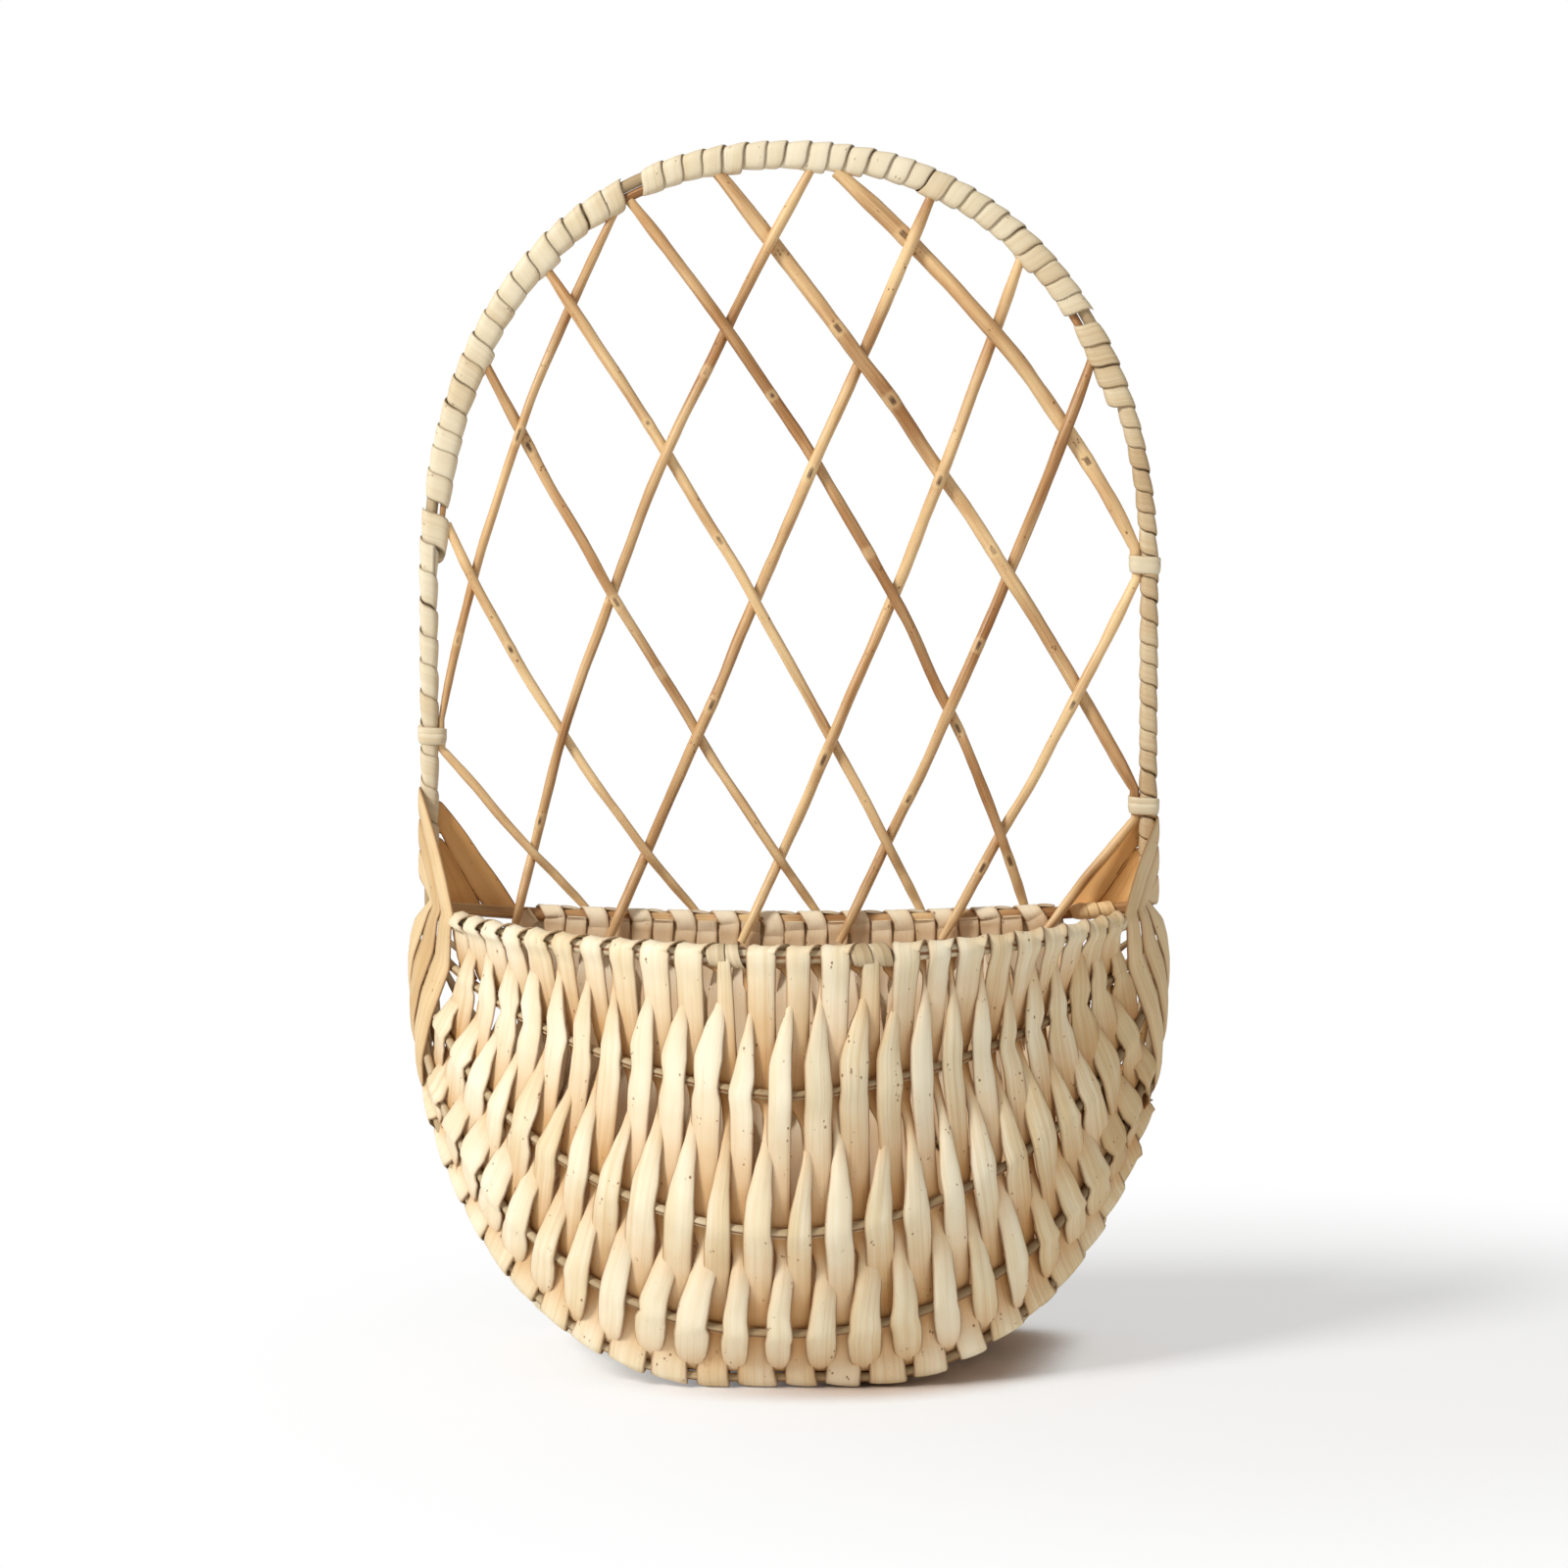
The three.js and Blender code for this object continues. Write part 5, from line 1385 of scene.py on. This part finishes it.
# %% Lash the corners
for corner in CORNERS:
    for n, share in enumerate(LASH_SHARES):
        strip = lashing(corner, share, corner["leg"][n], 500 + n)
        piece_of(f"{corner['name']}_lashing_{n + 1}", [strip], LASHING,
                 sides=14, corner=0.5, lump=0.08)
    for n, share in enumerate(INNER_SHARES):
        strip = inner_lashing(corner, share, corner["inner"][n], 0.22 + 0.15 * n)
        piece_of(f"{corner['name']}_inner_lashing_{n + 1}", [strip], INNER_PAINTED_LIGHT,
                 sides=14, corner=0.5)
print("corners lashed with", len(CORNERS) * (len(LASH_SHARES) + len(INNER_SHARES)), "strips")

# %% [markdown]
# A tie is a strip that goes twice round the leg and the two stick ends beside it. The second turn
# lies below the first one. A ring would look moulded, so this is a short winding too, held between
# a top and a bottom edge.

# %% Tie the ends of the sticks
TIE_TURNS, TIE_STRIP = 2, 0.96
TIE_HALF_WIDTH, TIE_EDGE = 2.35, 2.3
TIE_POINTS, TIE_LAP, TIE_START = 40, 6, 1.2
TIE_SLOPE = (TIE_HEIGHT - 4.4) / TIE_TURNS * 1.2


def tie_length(side, leg, room, seed):
    random = np.random.default_rng(seed)
    psi = np.arange(TIE_TURNS * TIE_POINTS + TIE_LAP + 1) / TIE_POINTS * 2 * math.pi + TIE_START
    half = HOOP_R + 0.9 + BINDING_THICKNESS
    left, right = (-half, half + room) if side < 0 else (-half - room, half)
    c, s = square(np.cos(psi)), square(np.sin(psi))
    turns = psi / (2 * math.pi) - TIE_TURNS / 2
    reach = TIE_HEIGHT / 2 - TIE_EDGE
    z = np.clip(-turns * TIE_SLOPE + random.uniform(-0.2, 0.2), -reach, reach)
    centre = np.array([side * HALF_WIDTH, 0, leg_height(leg)])
    place = np.stack([(left + right) / 2 + (right - left) / 2 * c, half * s, z], axis=1)
    normal = np.stack([c / (right - left) * 2, s / half, 0 * psi], axis=1)
    return Length(centre + place, UP + 0.12 * unit(normal), normal, TIE_HALF_WIDTH,
                  TIE_STRIP / 2, cup=0.1, tone=0.4)


for n, (name, tie) in enumerate(TIES.items()):
    piece_of(name, [tie_length(tie["side"], tie["leg"], tie["room"], 600 + n)], BINDING,
             sides=12, corner=0.5)
print("ties", len(TIES), "pieces in all", len(pieces))

# %% [markdown]
# ## The studio
# The basket stands on a white floor that fades into a white backdrop, in soft light from the
# upper left. A curved backdrop is the usual way, but its grey would change with every lamp. Here
# the floor takes the shadow as any pale floor does, and close under the basket, where an Ambient
# Occlusion node finds it near, it is painted browner as a painted contact shadow. Further away the
# camera sees the floor as plain white, so no horizon shows.

# %% Lay the floor
SHADOW_CENTRE = (0.17, 0.02, 0.0)
CONTACT_REACH, CONTACT_SHADOW_SHARE = 0.03, 0.7
PAPER, PAINTED_CONTACT_SHADOW_BROWN = (0.93, 0.925, 0.915, 1), srgb(186, 156, 128)
WHITE = (1, 1, 1, 1)


def floor_finish():
    material = bpy.data.materials.new("floor")
    material.use_nodes = True
    material.node_tree.nodes.clear()
    bench = Workbench(material.node_tree)
    place = bench.node("ShaderNodeTexCoord", output="Object")
    away = bench.node("ShaderNodeVectorMath", {"operation": "DISTANCE"},
                      {"Vector": place, "Vector_001": SHADOW_CENTRE}, output="Value")
    near = bench.node("ShaderNodeAmbientOcclusion", {"samples": 8}, {"Distance": CONTACT_REACH},
                      output="AO")
    # Painted contact shadow: the floor is painted browner, and its white glow is held back, where
    # the basket comes near.
    painted_contact_shadow = bench.between(near, 0.9, 0.35) * bench.between(away, 0.27, 0.15)
    far = (0.46 + 0.54 * bench.between(away, 0.14, 0.42)) * (1 - painted_contact_shadow)
    seen = bench.node("ShaderNodeLightPath", output="Is Camera Ray")
    colour = bench.blend(painted_contact_shadow * CONTACT_SHADOW_SHARE, PAPER, PAINTED_CONTACT_SHADOW_BROWN)
    paint = bench.node("ShaderNodeBsdfDiffuse", None, {"Color": colour})
    glow = bench.node("ShaderNodeEmission", None, {"Color": WHITE, "Strength": 1.0})
    mixed = bench.node("ShaderNodeMixShader", None, {"Fac": far * seen})
    for wire, socket in zip((paint, glow), mixed.socket.node.inputs[1:]):
        bench.feed(socket, wire)
    bench.node("ShaderNodeOutputMaterial", None, {"Surface": mixed})
    return material


floor_mesh = bpy.data.meshes.new("floor")
floor_mesh.from_pydata([(-8, -3, 0), (8, -3, 0), (8, 12, 0), (-8, 12, 0)], [], [(0, 1, 2, 3)])
floor_mesh.materials.append(floor_finish())
floor = bpy.data.objects.new("floor", floor_mesh)
bpy.context.scene.collection.objects.link(floor)
print("floor laid")

# %% Hang the lights
SKY_GREY = (0.36, 0.36, 0.36, 1)
LIGHT_AIM = (0, 0, 0.2)

world = bpy.data.worlds.new("studio")
bpy.context.scene.world = world
world.use_nodes = True
world.node_tree.nodes.clear()
bench = Workbench(world.node_tree)
seen = bench.node("ShaderNodeLightPath", output="Is Camera Ray")
sky = bench.node("ShaderNodeBackground", None,
                 {"Color": bench.blend(seen, SKY_GREY, WHITE), "Strength": 1.0})
bench.node("ShaderNodeOutputWorld", None, {"Surface": sky})


def soft_box(name, place, size, power):
    """A round lamp that faces the basket."""
    lamp = bpy.data.lights.new(name, "AREA")
    lamp.shape = "DISK"
    lamp.size, lamp.energy = size, power
    holder = bpy.data.objects.new(name, lamp)
    holder.location = place
    toward = unit(np.array(LIGHT_AIM) - np.array(place))
    turn = math.atan2(toward[0], -toward[1]) + math.pi
    holder.rotation_euler = (math.acos(-toward[2]), 0, turn)
    bpy.context.scene.collection.objects.link(holder)


soft_box("key", (-2.2, -1.75, 2.3), size=1.0, power=103)
soft_box("fill", (1.4, -1.2, 0.9), size=1.4, power=4)
bpy.context.scene.view_settings.view_transform = "Standard"
print("lamps", [lamp.name for lamp in bpy.data.lights])
